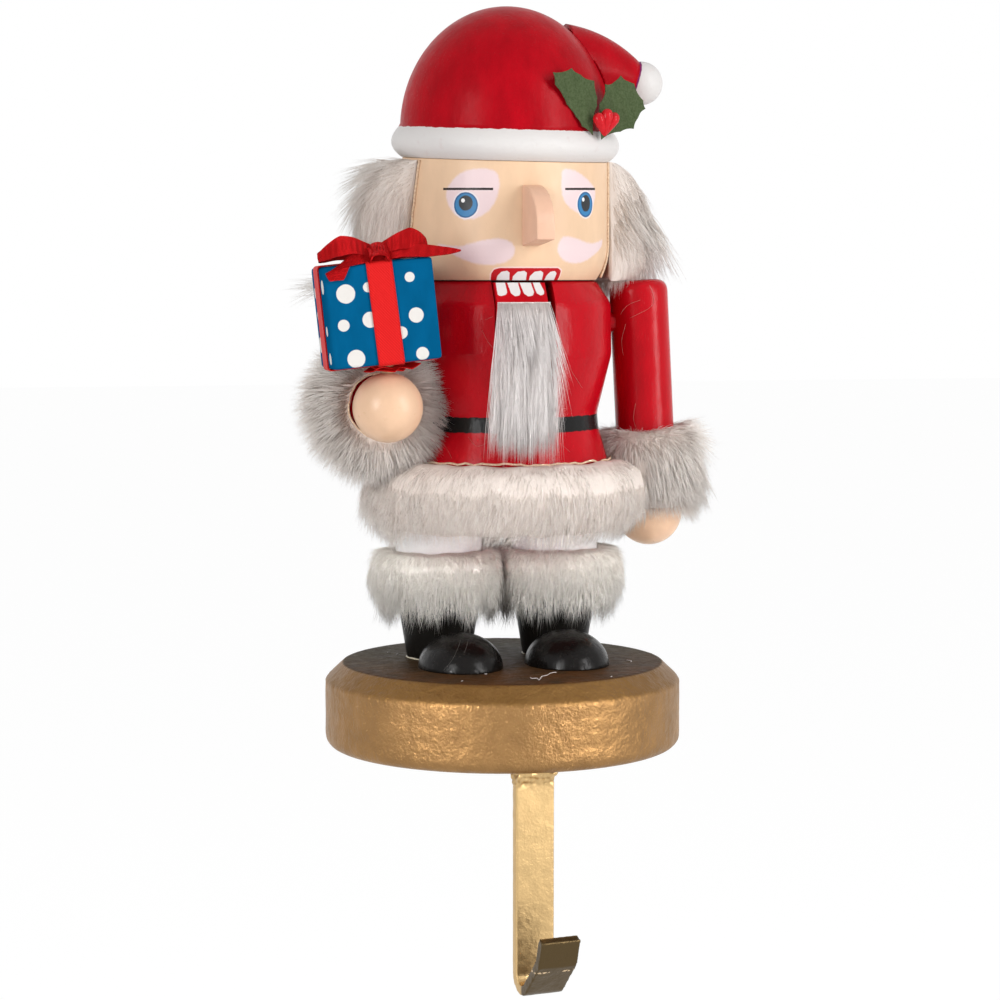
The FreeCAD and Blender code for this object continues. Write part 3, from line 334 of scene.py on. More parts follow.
def cut(piece: bpy.types.Object, tool: bpy.types.Object, sharp: float = 40) -> bpy.types.Object:
    """Takes the tool's shape out of the piece and removes the tool."""
    boolean = piece.modifiers.new("cut", "BOOLEAN")
    boolean.operation = "DIFFERENCE"
    boolean.solver = "EXACT"
    boolean.object = tool
    settle(piece)
    bpy.data.objects.remove(tool)
    soften(piece, sharp)
    return piece


def slab(name: str, low: Sequence[float], high: Sequence[float],
         matrix: Matrix | None = None) -> bpy.types.Object:
    """A block from its lowest to its highest corner, used to cut with."""
    x0, y0, z0 = low
    x1, y1, z1 = high
    points = np.array([(x, y, z) for z in (z0, z1) for x, y in ((x0, y0), (x1, y0), (x1, y1), (x0, y1))],
                      float)
    faces = [(3, 2, 1, 0), (4, 5, 6, 7), (0, 1, 5, 4), (1, 2, 6, 5), (2, 3, 7, 6), (3, 0, 4, 7)]
    return make(name, points if matrix is None else moved(points, matrix), faces)


def far_from(points: np.ndarray, outline: Sequence[Point]) -> np.ndarray:
    """How far each flat point is outside a closed outline; inside is negative.

    Args:
        points: rows of two coordinates.
        outline: corners in order.

    Returns:
        One distance for each row.
    """
    near = np.full(len(points), 1e9)
    inside = np.zeros(len(points), bool)
    for a, b in zip(outline, [*outline[1:], outline[0]]):
        ax, ay, bx, by = *a, *b
        run = np.array([bx - ax, by - ay])
        share = np.clip(((points - [ax, ay]) @ run) / max(run @ run, 1e-9), 0, 1)
        near = np.minimum(near, np.linalg.norm(points - [ax, ay] - share[:, None] * run, axis=1))
        crosses = (points[:, 1] < ay) != (points[:, 1] < by)
        with np.errstate(divide="ignore", invalid="ignore"):
            at = ax + (points[:, 1] - ay) * (bx - ax) / (by - ay)
        inside ^= crosses & (points[:, 0] < at)
    return np.where(inside, -near, near)


def soft_outline(corners: Sequence[Point], rounds: int = 2) -> list[Point]:
    """A closed outline with its corners cut, so that it reads as a brush made it."""
    loop = [np.array(corner, float) for corner in corners]
    for _ in range(rounds):
        after = loop[1:] + loop[:1]
        loop = [point for a, b in zip(loop, after) for point in (a * 0.75 + b * 0.25, a * 0.25 + b * 0.75)]
    return [(float(point[0]), float(point[1])) for point in loop]


def smooth_run(*knots: Sequence[float], parts: int = 8) -> np.ndarray:
    """A smooth run of points through the knots."""
    spots = [np.array(knot, float) for knot in (knots[0], *knots, knots[-1])]
    result = []
    for p0, p1, p2, p3 in zip(spots, spots[1:], spots[2:], spots[3:]):
        for part in range(parts):
            t = part / parts
            result.append(0.5 * (2 * p1 + (p2 - p0) * t + (2 * p0 - 5 * p1 + 4 * p2 - p3) * t ** 2
                                 + (3 * p1 - p0 - 3 * p2 + p3) * t ** 3))
    return np.array([*result, spots[-1]])


def laid(piece: bpy.types.Object, runs: Sequence[Sequence[Point]], above: bool,
         lift: float = 0.05) -> list[np.ndarray]:
    """Smooth runs laid on a piece, seen from the front or from above.

    Args:
        piece: what they lie on.
        runs: knots of each run, as x and z from the front, or x and y from above.
        above: whether they are cast down instead of back.
        lift: how far they stand off it.

    Returns:
        The runs' points, without those that miss the piece.
    """
    shape = BVHTree.FromPolygons(corners_of(piece).tolist(),
                                 [list(face.vertices) for face in piece.data.polygons])
    way = Vector((0, 0, -1)) if above else Vector((0, 1, 0))
    result = []
    for run in runs:
        spots = []
        for a, b in smooth_run(*run, parts=6):
            found = shape.ray_cast(Vector((a, b, 60)) if above else Vector((a, -70, b)), way)
            if found[0] is not None:
                spots.append(np.array(found[0] + found[1] * lift))
        result.append(np.array(spots))
    return result


def threads(name: str, runs: Sequence[np.ndarray], radius: float, sides: int = 4) -> bpy.types.Object:
    """Thin threads along runs of points, as one piece.

    Args:
        name: the piece's name.
        runs: points of each thread.
        radius: half its thickness.
        sides: corners of its section.

    Returns:
        The piece.
    """
    points: list[np.ndarray] = []
    faces: list[tuple[int, ...]] = []
    for run in runs:
        first = len(points)
        ahead = np.gradient(run, axis=0)
        ahead /= np.maximum(np.linalg.norm(ahead, axis=1, keepdims=True), 1e-9)
        for spot, way in zip(run, ahead):
            side = np.cross(way, (0.31, 0.17, 0.93))
            side /= np.linalg.norm(side)
            up = np.cross(side, way)
            points += [spot + (side * math.cos(turn) + up * math.sin(turn)) * radius
                       for turn in (2 * math.pi * step / sides for step in range(sides))]
        for ring in range(len(run) - 1):
            for step in range(sides):
                a, b = first + ring * sides + step, first + ring * sides + (step + 1) % sides
                faces.append((a, b, b + sides, a + sides))
        faces.append(tuple(first + step for step in reversed(range(sides))))
        faces.append(tuple(first + (len(run) - 1) * sides + step for step in range(sides)))
    piece = make(name, np.array(points), faces, 180)
    face_out(piece)
    return piece


def hoop_run(radius: float, height: float, matrix: Matrix, wave: float, seed: float,
             sweep: float = 360) -> np.ndarray:
    """Points on a wavy circle in a frame.

    Args:
        radius: of the circle.
        height: along the frame's Z.
        matrix: the frame.
        wave: how far the points stray.
        seed: shifts the waves.
        sweep: degrees covered, centred on +Y.

    Returns:
        The points.
    """
    angles = np.radians(np.linspace(90 - sweep / 2, 90 + sweep / 2, 160))
    spots = np.column_stack((radius * np.cos(angles), radius * np.sin(angles), np.full(160, height)))
    stray = dark_at(spots, 2.2, seed) * wave
    spots[:, 2] += stray
    spots[:, :2] *= (1 + dark_at(spots, 1.6, seed + 1) * wave * 0.3 / radius)[:, None]
    return moved(spots, matrix)


# Finishes


class Graph:
    """A material's nodes, laid one after the other."""

    def __init__(self, name: str) -> None:
        """Starts an empty material with its shader and output."""
        self.material = bpy.data.materials.new(name)
        self.material.use_nodes = True
        self.nodes = self.material.node_tree.nodes
        self.links = self.material.node_tree.links
        self.nodes.clear()
        self.shader = self.add("ShaderNodeBsdfPrincipled")
        output = self.add("ShaderNodeOutputMaterial")
        self.links.new(self.shader.outputs[0], output.inputs[0])
        self.coords = self.add("ShaderNodeTexCoord").outputs["Object"]

    def add(self, kind: str, **settings: object) -> bpy.types.Node:
        """A new node with its settings."""
        node = self.nodes.new(kind)
        for setting, value in settings.items():
            setattr(node, setting, value)
        return node

    def feed(self, socket: bpy.types.NodeSocket, value: object) -> None:
        """Links or sets an input."""
        if isinstance(value, bpy.types.NodeSocket):
            self.links.new(value, socket)
        elif isinstance(value, tuple) and len(value) == 3 and socket.type == "RGBA":
            socket.default_value = (*value, 1)
        else:
            socket.default_value = value

    def math(self, operation: str, *values: object) -> bpy.types.NodeSocket:
        """The result of a sum on up to three inputs."""
        node = self.add("ShaderNodeMath", operation=operation)
        for socket, value in zip(node.inputs, values):
            self.feed(socket, value)
        return node.outputs[0]

    def noise(self, size: float, detail: float = 2, stretch: Colour = (1, 1, 1)) -> bpy.types.NodeSocket:
        """Noise from 0 to 1 whose lumps have a size in millimetres.

        Args:
            size: width of a lump.
            detail: how many finer layers it has.
            stretch: how many lumps fit in that size along each axis.

        Returns:
            The noise's value.
        """
        mapping = self.add("ShaderNodeMapping")
        self.feed(mapping.inputs["Vector"], self.coords)
        mapping.inputs["Scale"].default_value = [part / (size * MM) for part in stretch]
        texture = self.add("ShaderNodeTexNoise")
        self.feed(texture.inputs["Vector"], mapping.outputs[0])
        texture.inputs["Scale"].default_value = 1
        texture.inputs["Detail"].default_value = detail
        return texture.outputs[0]

    def ramp(self, value: object, low: float, high: float, start: float = 0,
             end: float = 1) -> bpy.types.NodeSocket:
        """A value carried from one range to another and held at its ends."""
        node = self.add("ShaderNodeMapRange")
        for socket, given in zip(node.inputs, (value, low, high, start, end)):
            self.feed(socket, given)
        return node.outputs[0]

    def mix(self, share: object, first: object, second: object) -> bpy.types.NodeSocket:
        """A colour between two others."""
        node = self.add("ShaderNodeMix", data_type="RGBA")
        for socket, given in ((node.inputs[0], share), (node.inputs[6], first), (node.inputs[7], second)):
            self.feed(socket, given)
        return node.outputs[2]

    def read(self, name: str) -> bpy.types.NodeSocket:
        """The number stored on the piece under that name."""
        return self.add("ShaderNodeAttribute", attribute_name=name).outputs["Fac"]

    def flat(self) -> list[bpy.types.NodeSocket]:
        """The place across and up the piece's own map, in millimetres."""
        node = self.add("ShaderNodeSeparateXYZ")
        self.feed(node.inputs[0], self.add("ShaderNodeAttribute", attribute_name="flat").outputs["Vector"])
        return list(node.outputs[:2])

    def axis(self, number: int) -> bpy.types.NodeSocket:
        """The place along X, Y or Z in metres."""
        node = self.add("ShaderNodeSeparateXYZ")
        self.feed(node.inputs[0], self.coords)
        return node.outputs[number]

    def bump(self, height: bpy.types.NodeSocket, depth: float,
             before: bpy.types.NodeSocket | None = None) -> bpy.types.NodeSocket:
        """A surface relief of a depth in millimetres, over another relief if one is given."""
        node = self.add("ShaderNodeBump")
        node.inputs["Distance"].default_value = depth * MM
        self.feed(node.inputs["Height"], height)
        if before is not None:
            self.feed(node.inputs["Normal"], before)
        return node.outputs[0]

    def finish(self, **inputs: object) -> bpy.types.Material:
        """Sets the shader's inputs, named with underscores, and gives the material."""
        for name, value in inputs.items():
            self.feed(self.shader.inputs[name.replace("_", " ")], value)
        return self.material


@dataclass(frozen=True, kw_only=True)
class Mark:
    """A coat of paint over part of a piece, inside a shape."""

    colour: Colour
    edge: float = 0.06
    wobble: float = 0.1
    strength: float = 1.0

    def distance(self, graph: Graph) -> bpy.types.NodeSocket:
        """How far outside the shape each place is, in millimetres."""
        raise NotImplementedError


@dataclass(frozen=True, kw_only=True)
class Traced(Mark):
    """A shape whose distance is stored on the piece."""

    tagged: str

    def distance(self, graph: Graph) -> bpy.types.NodeSocket:
        """The stored distance."""
        return graph.read(self.tagged)


@dataclass(frozen=True, kw_only=True)
class Ovals(Mark):
    """Upright ovals on the piece's own map, each with its centre and half sizes."""

    shapes: tuple[tuple[float, float, float, float], ...]
    grow: float = 0.0

    def distance(self, graph: Graph) -> bpy.types.NodeSocket:
        """The distance to the nearest oval."""
        across, up = graph.flat()
        nearest: bpy.types.NodeSocket | None = None
        for x, z, half_x, half_z in self.shapes:
            u = graph.math("DIVIDE", graph.math("SUBTRACT", across, x), half_x)
            v = graph.math("DIVIDE", graph.math("SUBTRACT", up, z), half_z)
            length = graph.math("SQRT", graph.math("ADD", graph.math("MULTIPLY", u, u),
                                                   graph.math("MULTIPLY", v, v)))
            out = graph.math("MULTIPLY_ADD", length, min(half_x, half_z), -min(half_x, half_z) - self.grow)
            nearest = out if nearest is None else graph.math("MINIMUM", nearest, out)
        return nearest


@dataclass(frozen=True, kw_only=True)
class Bars(Mark):
    """Brushed lines on the piece's own map, each from a point to another with half its width."""

    shapes: tuple[tuple[float, float, float, float, float], ...]

    def distance(self, graph: Graph) -> bpy.types.NodeSocket:
        """The distance to the nearest line's edge."""
        across, up = graph.flat()
        nearest: bpy.types.NodeSocket | None = None
        for x0, z0, x1, z1, half in self.shapes:
            slope = (z1 - z0) / (x1 - x0)
            level = graph.math("SUBTRACT", up, graph.math("MULTIPLY_ADD", across, slope, z0 - slope * x0))
            off = graph.math("SUBTRACT", graph.math("ABSOLUTE", level), half)
            beyond = graph.math("SUBTRACT", graph.math("ABSOLUTE",
                                                       graph.math("SUBTRACT", across, (x0 + x1) / 2)),
                                                       abs(x1 - x0) / 2)
            out = graph.math("MAXIMUM", off, beyond)
            nearest = out if nearest is None else graph.math("MINIMUM", nearest, out)
        return nearest


@dataclass(frozen=True)
class Paint:
    """Brushed paint on turned wood."""

    name: str
    colour: Colour
    roughness: float = 0.32
    variation: float = 0.12
    brush: float = 0.03
    coat: float = 0.02
    shine: float = 0.07
    marks: tuple[Mark, ...] = ()

    def colours(self, graph: Graph) -> bpy.types.NodeSocket:
        """The paint's colour with its layers over it."""
        darker = tuple(part * (1 - self.variation) for part in self.colour)
        lighter = tuple(min(1.0, part * (1 + self.variation)) for part in self.colour)
        streaks = graph.noise(4.0, 4, (1, 1, 0.45))
        result = graph.mix(graph.ramp(streaks, 0.3, 0.7), darker, lighter)
        for mark in self.marks:
            wobble = graph.math("MULTIPLY_ADD", graph.noise(0.8, 2), 2 * mark.wobble, -mark.wobble)
            edge = graph.math("ADD", mark.distance(graph), wobble)
            share = graph.ramp(edge, -mark.edge, mark.edge, mark.strength, 0)
            result = graph.mix(share, result, mark.colour)
        return result

    def relief(self, graph: Graph) -> bpy.types.NodeSocket:
        """Brush marks and the dust nibs under the paint."""
        marks = graph.bump(graph.noise(1.6, 5, (1, 1, 0.5)), self.brush * 3)
        nibs = graph.ramp(graph.noise(0.5, 0), 0.72, 0.8)
        return graph.bump(nibs, self.brush, marks)

    def material(self) -> bpy.types.Material:
        """The paint as a material."""
        graph = Graph(self.name)
        rough = graph.ramp(graph.noise(3.0, 3), 0.3, 0.7, self.roughness * 0.85, self.roughness * 1.2)
        return graph.finish(Base_Color=self.colours(graph), Roughness=rough, Normal=self.relief(graph),
                            Coat_Weight=self.coat, Coat_Roughness=0.18, Specular_IOR_Level=self.shine)


@dataclass(frozen=True)
class BeltedPaint(Paint):
    """Coat paint with a black belt painted round it."""

    low: float = 80.3
    high: float = 84.1
    belt: Colour = (0.012, 0.012, 0.012)

    def colours(self, graph: Graph) -> bpy.types.NodeSocket:
        """Coat colour with the belt's uneven edges."""
        below = super().colours(graph)
        height = graph.math("ADD", graph.axis(2),
                            graph.math("MULTIPLY", graph.math("SUBTRACT", graph.noise(1.5, 4), 0.5),
                                       0.9 * MM))
        above_low = graph.ramp(height, (self.low - 0.1) * MM, (self.low + 0.1) * MM)
        under_high = graph.ramp(height, (self.high - 0.1) * MM, (self.high + 0.1) * MM, 1, 0)
        return graph.mix(graph.math("MULTIPLY", above_low, under_high), below, self.belt)


@dataclass(frozen=True)
class SplitPaint(Paint):
    """Paint that changes colour across a plane."""

    second: Colour = (0.8, 0.8, 0.8)
    point: tuple[float, float, float] = (0, 0, 0)
    normal: tuple[float, float, float] = (0, 0, 1)
    line: Colour | None = None

    def colours(self, graph: Graph) -> bpy.types.NodeSocket:
        """The first colour behind the plane and the second before it."""
        first = super().colours(graph)
        way = graph.add("ShaderNodeVectorMath", operation="DOT_PRODUCT")
        graph.feed(way.inputs[0], graph.coords)
        way.inputs[1].default_value = self.normal
        reach = sum(a * b for a, b in zip(self.point, self.normal)) * MM
        wobble = graph.math("MULTIPLY", graph.math("SUBTRACT", graph.noise(2.2, 3), 0.5), 0.7 * MM)
        past = graph.math("ADD", graph.math("SUBTRACT", way.outputs["Value"], reach), wobble)
        stain = graph.ramp(graph.noise(3.5, 4), 0.62, 0.78, 0, 0.35)
        second = graph.mix(stain, self.second,
                           tuple(0.6 * a + 0.4 * b for a, b in zip(self.second, self.colour)))
        result = graph.mix(graph.ramp(past, -0.06 * MM, 0.06 * MM), first, second)
        if self.line is None:
            return result
        near = graph.ramp(graph.math("ABSOLUTE", past), 0.12 * MM, 0.3 * MM, 1, 0)
        return graph.mix(near, result, self.line)


@dataclass(frozen=True)
class GoldPaint:
    """Gold paint over rough cast iron. The bevel is darker, partly browner paint and partly painted shade for the
    dark it reflects; the flat top is brown, turning grey-green towards the back as a painted reflection.
    """

    name: str
    colour: Colour = (0.36, 0.20, 0.078)
    roughness: float = 0.42
    cast: float = 0.19
    bevel: float = 16.7
    top: float = 21.3

    def tones(self, graph: Graph) -> bpy.types.NodeSocket:
        """The paint's colour."""
        patch = graph.ramp(graph.noise(7.0, 5), 0.3, 0.75)
        colour = graph.mix(patch, tuple(part * 0.74 for part in self.colour), self.colour)
        # The bevel: partly browner paint, partly painted shade for the dark that the slope reflects.
        height = graph.math("ADD", graph.axis(2),
                            graph.math("MULTIPLY_ADD", graph.noise(3.0, 3), 1.6 * MM, -0.8 * MM))
        slope = graph.ramp(height, (self.bevel - 0.4) * MM, (self.bevel + 0.7) * MM)
        colour = graph.mix(slope, colour, graph.mix(graph.noise(6.0, 5), (0.17, 0.085, 0.025),
                                                    (0.25, 0.135, 0.045)))
        # The flat top: brown at the front, turning grey-green at the back, a painted reflection.
        behind = graph.ramp(graph.axis(1), -30 * MM, 25 * MM)
        brown = graph.mix(behind, (0.085, 0.034, 0.010), (0.050, 0.040, 0.017))
        stain = graph.mix(graph.ramp(graph.noise(5.0, 5), 0.35, 0.7), brown, (0.040, 0.022, 0.010))
        return graph.mix(self.level(graph), colour, stain)

    def level(self, graph: Graph) -> bpy.types.NodeSocket | None:
        """One on the flat top, where the paint is bare of metal, else nothing."""
        return graph.ramp(graph.axis(2), (self.top - 0.3) * MM, (self.top - 0.08) * MM)

    def material(self) -> bpy.types.Material:
        """The paint as a material."""
        graph = Graph(self.name)
        colour, flat = self.tones(graph), self.level(graph)
        rough = graph.ramp(graph.noise(2.0, 3), 0.3, 0.7, self.roughness * 0.85, self.roughness * 1.15)
        metal = 0.85
        if flat is not None:
            rough = graph.math("MULTIPLY_ADD", flat, 0.12, rough)
            metal = graph.ramp(flat, 0, 1, 0.85, 0.0)
        peel = graph.bump(graph.noise(0.75, 3), self.cast)
        relief = graph.bump(graph.noise(2.4, 3), self.cast * 1.6, peel)
        return graph.finish(Base_Color=colour, Roughness=rough, Metallic=metal, Normal=relief,
                            Specular_IOR_Level=0.06)


@dataclass(frozen=True)
class StrapPaint(GoldPaint):
    """Gold paint on the strap, with a chipped crease across it; the front of the turned-up lip is painted dark
    brown, painted shade for the dark it reflects.
    """

    lip: float = -37.0
    crease: float = -46.5

    def level(self, graph: Graph) -> None:
        """The strap has no flat top."""

    def tones(self, graph: Graph) -> bpy.types.NodeSocket:
        """The paint's colour."""
        patch = graph.ramp(graph.noise(5.0, 5), 0.3, 0.75)
        colour = graph.mix(patch, tuple(part * 0.85 for part in self.colour), self.colour)
        # The front of the turned-up lip is darkened to 0.15 of the gold: painted shade for the dark it reflects.
        node = graph.add("ShaderNodeVectorMath", operation="DOT_PRODUCT")
        graph.feed(node.inputs[0], graph.coords)
        node.inputs[1].default_value = (0.165, -0.986, 0)
        reach = node.outputs["Value"]
        front = graph.ramp(reach, 40.0 * MM, 41.0 * MM)
        low = graph.ramp(graph.axis(2), (self.lip - 1) * MM, self.lip * MM, 1, 0)
        colour = graph.mix(graph.math("MULTIPLY", front, low), colour,
                           tuple(part * 0.15 for part in self.colour))
        near = graph.ramp(graph.math("ABSOLUTE", graph.math("SUBTRACT", graph.axis(2), self.crease * MM)),
                          0.15 * MM, 0.4 * MM, 1, 0)
        chips = graph.math("MULTIPLY", near, graph.ramp(graph.noise(0.9, 2), 0.5, 0.56))
        colour = graph.mix(graph.math("MULTIPLY", graph.math("MULTIPLY", chips, front), low), colour,
                           (0.75, 0.55, 0.33))
        return colour


@dataclass(frozen=True)
class Pelt:
    """Long-pile fur, white at its tips and darker at its roots and on its backing: painted shade for the depth of
    the pile.
    """

    name: str
    root: Colour = (0.84, 0.745, 0.68)
    tip: Colour = (0.895, 0.845, 0.80)

    def material(self) -> bpy.types.Material:
        """The fur as a material."""
        graph = Graph(self.name)
        along = graph.ramp(graph.read("along"), 0.0, 0.6)
        colour = graph.mix(along, self.root, self.tip)
        tint = graph.ramp(graph.read("shade"), 0.0, 1.0, 0.7, 1.0)
        tinted = graph.mix(tint, self.root, colour)
        # Roots and the backing, which reads as along 0, darken further: painted shade deep in the pile.
        hair = graph.ramp(graph.read("along"), 0.0, 0.05)
        colour = graph.mix(hair, tuple(part * 0.9 for part in self.root), tinted)
        return graph.finish(Base_Color=colour, Roughness=0.6, Specular_IOR_Level=0.25)


@dataclass(frozen=True)
class Satin:
    """Woven satin ribbon, its twill across the ribbon's own map."""

    name: str
    colour: Colour = (0.60, 0.012, 0.014)
    thread: float = 0.8
    roughness: float = 0.45
    shine: float = 0.06
    metal: float = 0.15

    def material(self) -> bpy.types.Material:
        """The ribbon as a material."""
        graph = Graph(self.name)
        across, along = graph.read("across"), graph.read("length")
        slant = graph.math("ADD", graph.math("MULTIPLY", across, 1.25), along)
        wave = graph.math("SINE", graph.math("MULTIPLY", slant, 2 * math.pi / self.thread))
        twill = graph.ramp(wave, -1, 1)
        fine = graph.noise(0.25, 2)
        colour = graph.mix(graph.math("MULTIPLY", twill, 0.5), self.colour,
                           tuple(part * 0.5 for part in self.colour))
        edge = graph.ramp(graph.math("ABSOLUTE", across), 2.7, 2.9)
        colour = graph.mix(graph.math("MULTIPLY", edge, 0.35), colour,
                           tuple(part * 0.45 for part in self.colour))
        relief = graph.bump(fine, 0.03, graph.bump(twill, 0.06))
        return graph.finish(Base_Color=colour, Roughness=self.roughness, Normal=relief,
                            Specular_IOR_Level=self.shine,
                            Metallic=self.metal)


@dataclass(frozen=True)
class Plain:
    """A simple finish: cut wood, steel, cloth, berry or glue."""

    name: str
    colour: Colour
    second: Colour
    size: float = 2.0
    roughness: float = 0.5
    metallic: float = 0.0
    relief: float = 0.05
    coat: float = 0.0
    stretch: Colour = (1, 1, 1)
    shine: float = 0.25

    def material(self) -> bpy.types.Material:
        """The finish as a material."""
        graph = Graph(self.name)
        grain = graph.noise(self.size, 5, self.stretch)
        return graph.finish(Base_Color=graph.mix(graph.ramp(grain, 0.3, 0.7), self.colour, self.second),
                            Roughness=self.roughness, Metallic=self.metallic,
                            Normal=graph.bump(grain, self.relief),
                            Coat_Weight=self.coat, Coat_Roughness=0.05, Specular_IOR_Level=self.shine)


RED = (0.46, 0.0025, 0.009)
# The cap's red is darker than the coat's: painted shade against the extra lamp light on its upward faces.
SHADED_CAP_RED = (0.38, 0.002, 0.008)
FLESH = (0.76, 0.53, 0.35)
WHITE = (0.69, 0.665, 0.65)
EYES = ((-15.6, 18.4, 3.15, 3.1), (16.8, 18.7, 3.0, 3.1))
FACE_MARKS = (
    Traced(tagged="lilac", colour=(0.78, 0.63, 0.67), edge=0.3, wobble=0.3, strength=0.85),
    Ovals(shapes=EYES, grow=0.35, colour=(0.78, 0.76, 0.80), edge=0.1, strength=0.7),
    Ovals(shapes=EYES, colour=(0.02, 0.10, 0.24), wobble=0.06),
    Ovals(shapes=EYES, grow=-0.35, colour=(0.04, 0.20, 0.42), edge=0.15, wobble=0.12),
    Ovals(shapes=((-15.6, 18.9, 1.85, 1.85), (16.9, 19.0, 1.75, 2.05)), colour=(0.03, 0.032, 0.036), edge=0.1,
          wobble=0.12),
    Ovals(shapes=((-16.3, 19.5, 0.5, 0.5), (15.9, 19.9, 0.45, 0.5)), colour=(0.85, 0.85, 0.85), wobble=0.03),
    Bars(shapes=((-21.9, 22.35, -8.7, 22.21, 0.28), (9.8, 22.34, 21.0, 22.6, 0.27)),
         colour=(0.015, 0.010, 0.010), wobble=0.06),
    Traced(tagged="lip_edge", colour=(0.85, 0.62, 0.58), wobble=0.06),
    Traced(tagged="lip", colour=(0.46, 0.004, 0.010), wobble=0.06),
    Traced(tagged="tooth", colour=(0.72, 0.70, 0.69), wobble=0.08),
    # A dark line along the head's lower edge: painted shade in the seam where the head sits on the coat.
    Bars(shapes=((-40, 0, 40, 0.01, 0.2),), colour=(0.05, 0.015, 0.01), wobble=0.05),
)
TEETH = (Traced(tagged="tooth", colour=(0.72, 0.70, 0.69), wobble=0.08),)
DOTS = (Traced(tagged="dot", colour=(0.70, 0.67, 0.64), wobble=0.07),)
FINISHES = {
    "base_paint": GoldPaint("base_paint"),
    "hook_paint": StrapPaint("hook_paint", (0.66, 0.45, 0.21), 0.36, 0.06),
    "coat_paint": BeltedPaint("coat_paint", RED, 0.21, 0.07, 0.045, coat=0.01, shine=0.10),
    "sleeve_paint": Paint("sleeve_paint", RED, 0.22, 0.10, 0.03, shine=0.12),
    "jaw_paint": Paint("jaw_paint", RED, marks=TEETH),
    "face_paint": Paint("face_paint", FLESH, 0.38, 0.035, 0.015, 0.05, 0.18, FACE_MARKS),
    "nose_paint": Paint("nose_paint", (0.74, 0.455, 0.32), 0.36, 0.05, 0.015, 0.05, 0.18),
    "hand_paint": Paint("hand_paint", (0.76, 0.50, 0.33), 0.32, 0.04, 0.01, 0.08, 0.25),
    "cap_paint": SplitPaint("cap_paint", SHADED_CAP_RED, 0.34, second=WHITE),
    "tail_paint": SplitPaint("tail_paint", SHADED_CAP_RED, 0.34, second=WHITE, line=(0.2, 0.02, 0.12)),
    "leg_paint": SplitPaint("leg_paint", (0.007, 0.006, 0.005), 0.34, second=(0.95, 0.94, 0.935),
                            point=(0, 0, 38.8)),
    "boot_paint": Paint("boot_paint", (0.005, 0.004, 0.0035), 0.25, brush=0.05, coat=0.05, shine=0.12),
    "gift_paint": Paint("gift_paint", (0.0015, 0.092, 0.215), 0.36, 0.1, 0.02, 0.0, 0.0, DOTS),
    "fur": Pelt("fur"),
    # A lighter copy of the fur for the boot tops: painted light where the coat's hem shades them.
    "bright_fur": Pelt("bright_fur", (0.95, 0.90, 0.83), (0.985, 0.955, 0.905)),
    "white_fur": Pelt("white_fur", (0.95, 0.89, 0.87), (0.97, 0.93, 0.915)),
    "stray_fur": Pelt("stray_fur", (0.66, 0.30, 0.26), (0.76, 0.42, 0.37)),
    "satin": Satin("satin_ribbon", (0.70, 0.014, 0.014)),
    "bow": Satin("bow_satin", (0.46, 0.006, 0.008), 0.32, 0.27, 0.06, 0.55),
    "bare_wood": Plain("bare_wood", (0.58, 0.40, 0.22), (0.70, 0.52, 0.31), 1.5, stretch=(1, 1, 0.1)),
    "bare_steel": Plain("bare_steel", (0.5, 0.5, 0.52), (0.62, 0.62, 0.64), 1.0, 0.35, 1.0, 0.02),
    "leaf_cloth": Plain("leaf_cloth", (0.050, 0.074, 0.030), (0.088, 0.116, 0.056), 0.5, 0.8, relief=0.08,
                        shine=0.08),
    "berry": Plain("berry", (0.50, 0.006, 0.012), (0.60, 0.010, 0.018), 1.0, 0.2, relief=0.01, coat=0.12,
                   shine=0.12),
    "scuff": Plain("scuff", (0.10, 0.09, 0.08), (0.05, 0.045, 0.04), 0.8, 0.6),
    "glue": Plain("glue", (0.66, 0.58, 0.42), (0.78, 0.72, 0.56), 0.6, 0.3),
    "backing": Plain("backing_cloth", (0.58, 0.38, 0.24), (0.86, 0.68, 0.50), 0.6, 0.8),
}
MADE: dict[str, bpy.types.Material] = {}


def dress(piece: bpy.types.Object, finish: str) -> bpy.types.Object:
    """Gives the piece a finish by its name."""
    if finish not in MADE:
        MADE[finish] = FINISHES[finish].material()
    piece.data.materials.clear()
    piece.data.materials.append(MADE[finish])
    return piece


def fit(piece: bpy.types.Object, slot: str, body: Body, *nodes: str) -> bpy.types.Object:
    """Puts a finished piece on its body in place of its CAD nodes."""
    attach(piece, body.value)
    if nodes:
        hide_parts(*nodes)
    log.info("%s: %d faces", piece.name, len(piece.data.polygons))
    return piece


# Fur


def strand(name: str, rings: Sequence[float], girth: float, bend: float) -> bpy.types.Object:
    """One hair of unit length along Z, three-sided and pointed, bending towards +X.

    Args:
        name: the hair's name.
        rings: shares of the length that have a ring of corners.
        girth: radius at the root over the length.
        bend: how far the tip leans over the length.

    Returns:
        The hair, hidden from view.
    """
    points: list[tuple[float, float, float]] = []
    for share in rings:
        radius = girth * (1 - share ** 2.2)
        for side in range(3):
            angle = side * 2 * math.pi / 3
            points.append((radius * math.cos(angle) + bend * share ** 2, radius * math.sin(angle), share))
    points.append((bend, 0, 1))
    faces = [(2, 1, 0)]
    for ring in range(len(rings) - 1):
        for side in range(3):
            after = (side + 1) % 3
            faces.append((ring * 3 + side, ring * 3 + after, ring * 3 + 3 + after, ring * 3 + 3 + side))
    last = (len(rings) - 1) * 3
    faces += [(last, last + 1, last + 3), (last + 1, last + 2, last + 3), (last + 2, last, last + 3)]
    mesh = bpy.data.meshes.new(name)
    mesh.from_pydata(points, [], faces)
    mesh.shade_smooth()
    hair = bpy.data.objects.new(name, mesh)
    tag(hair, "along", np.array([point[2] for point in points]))
    return hair


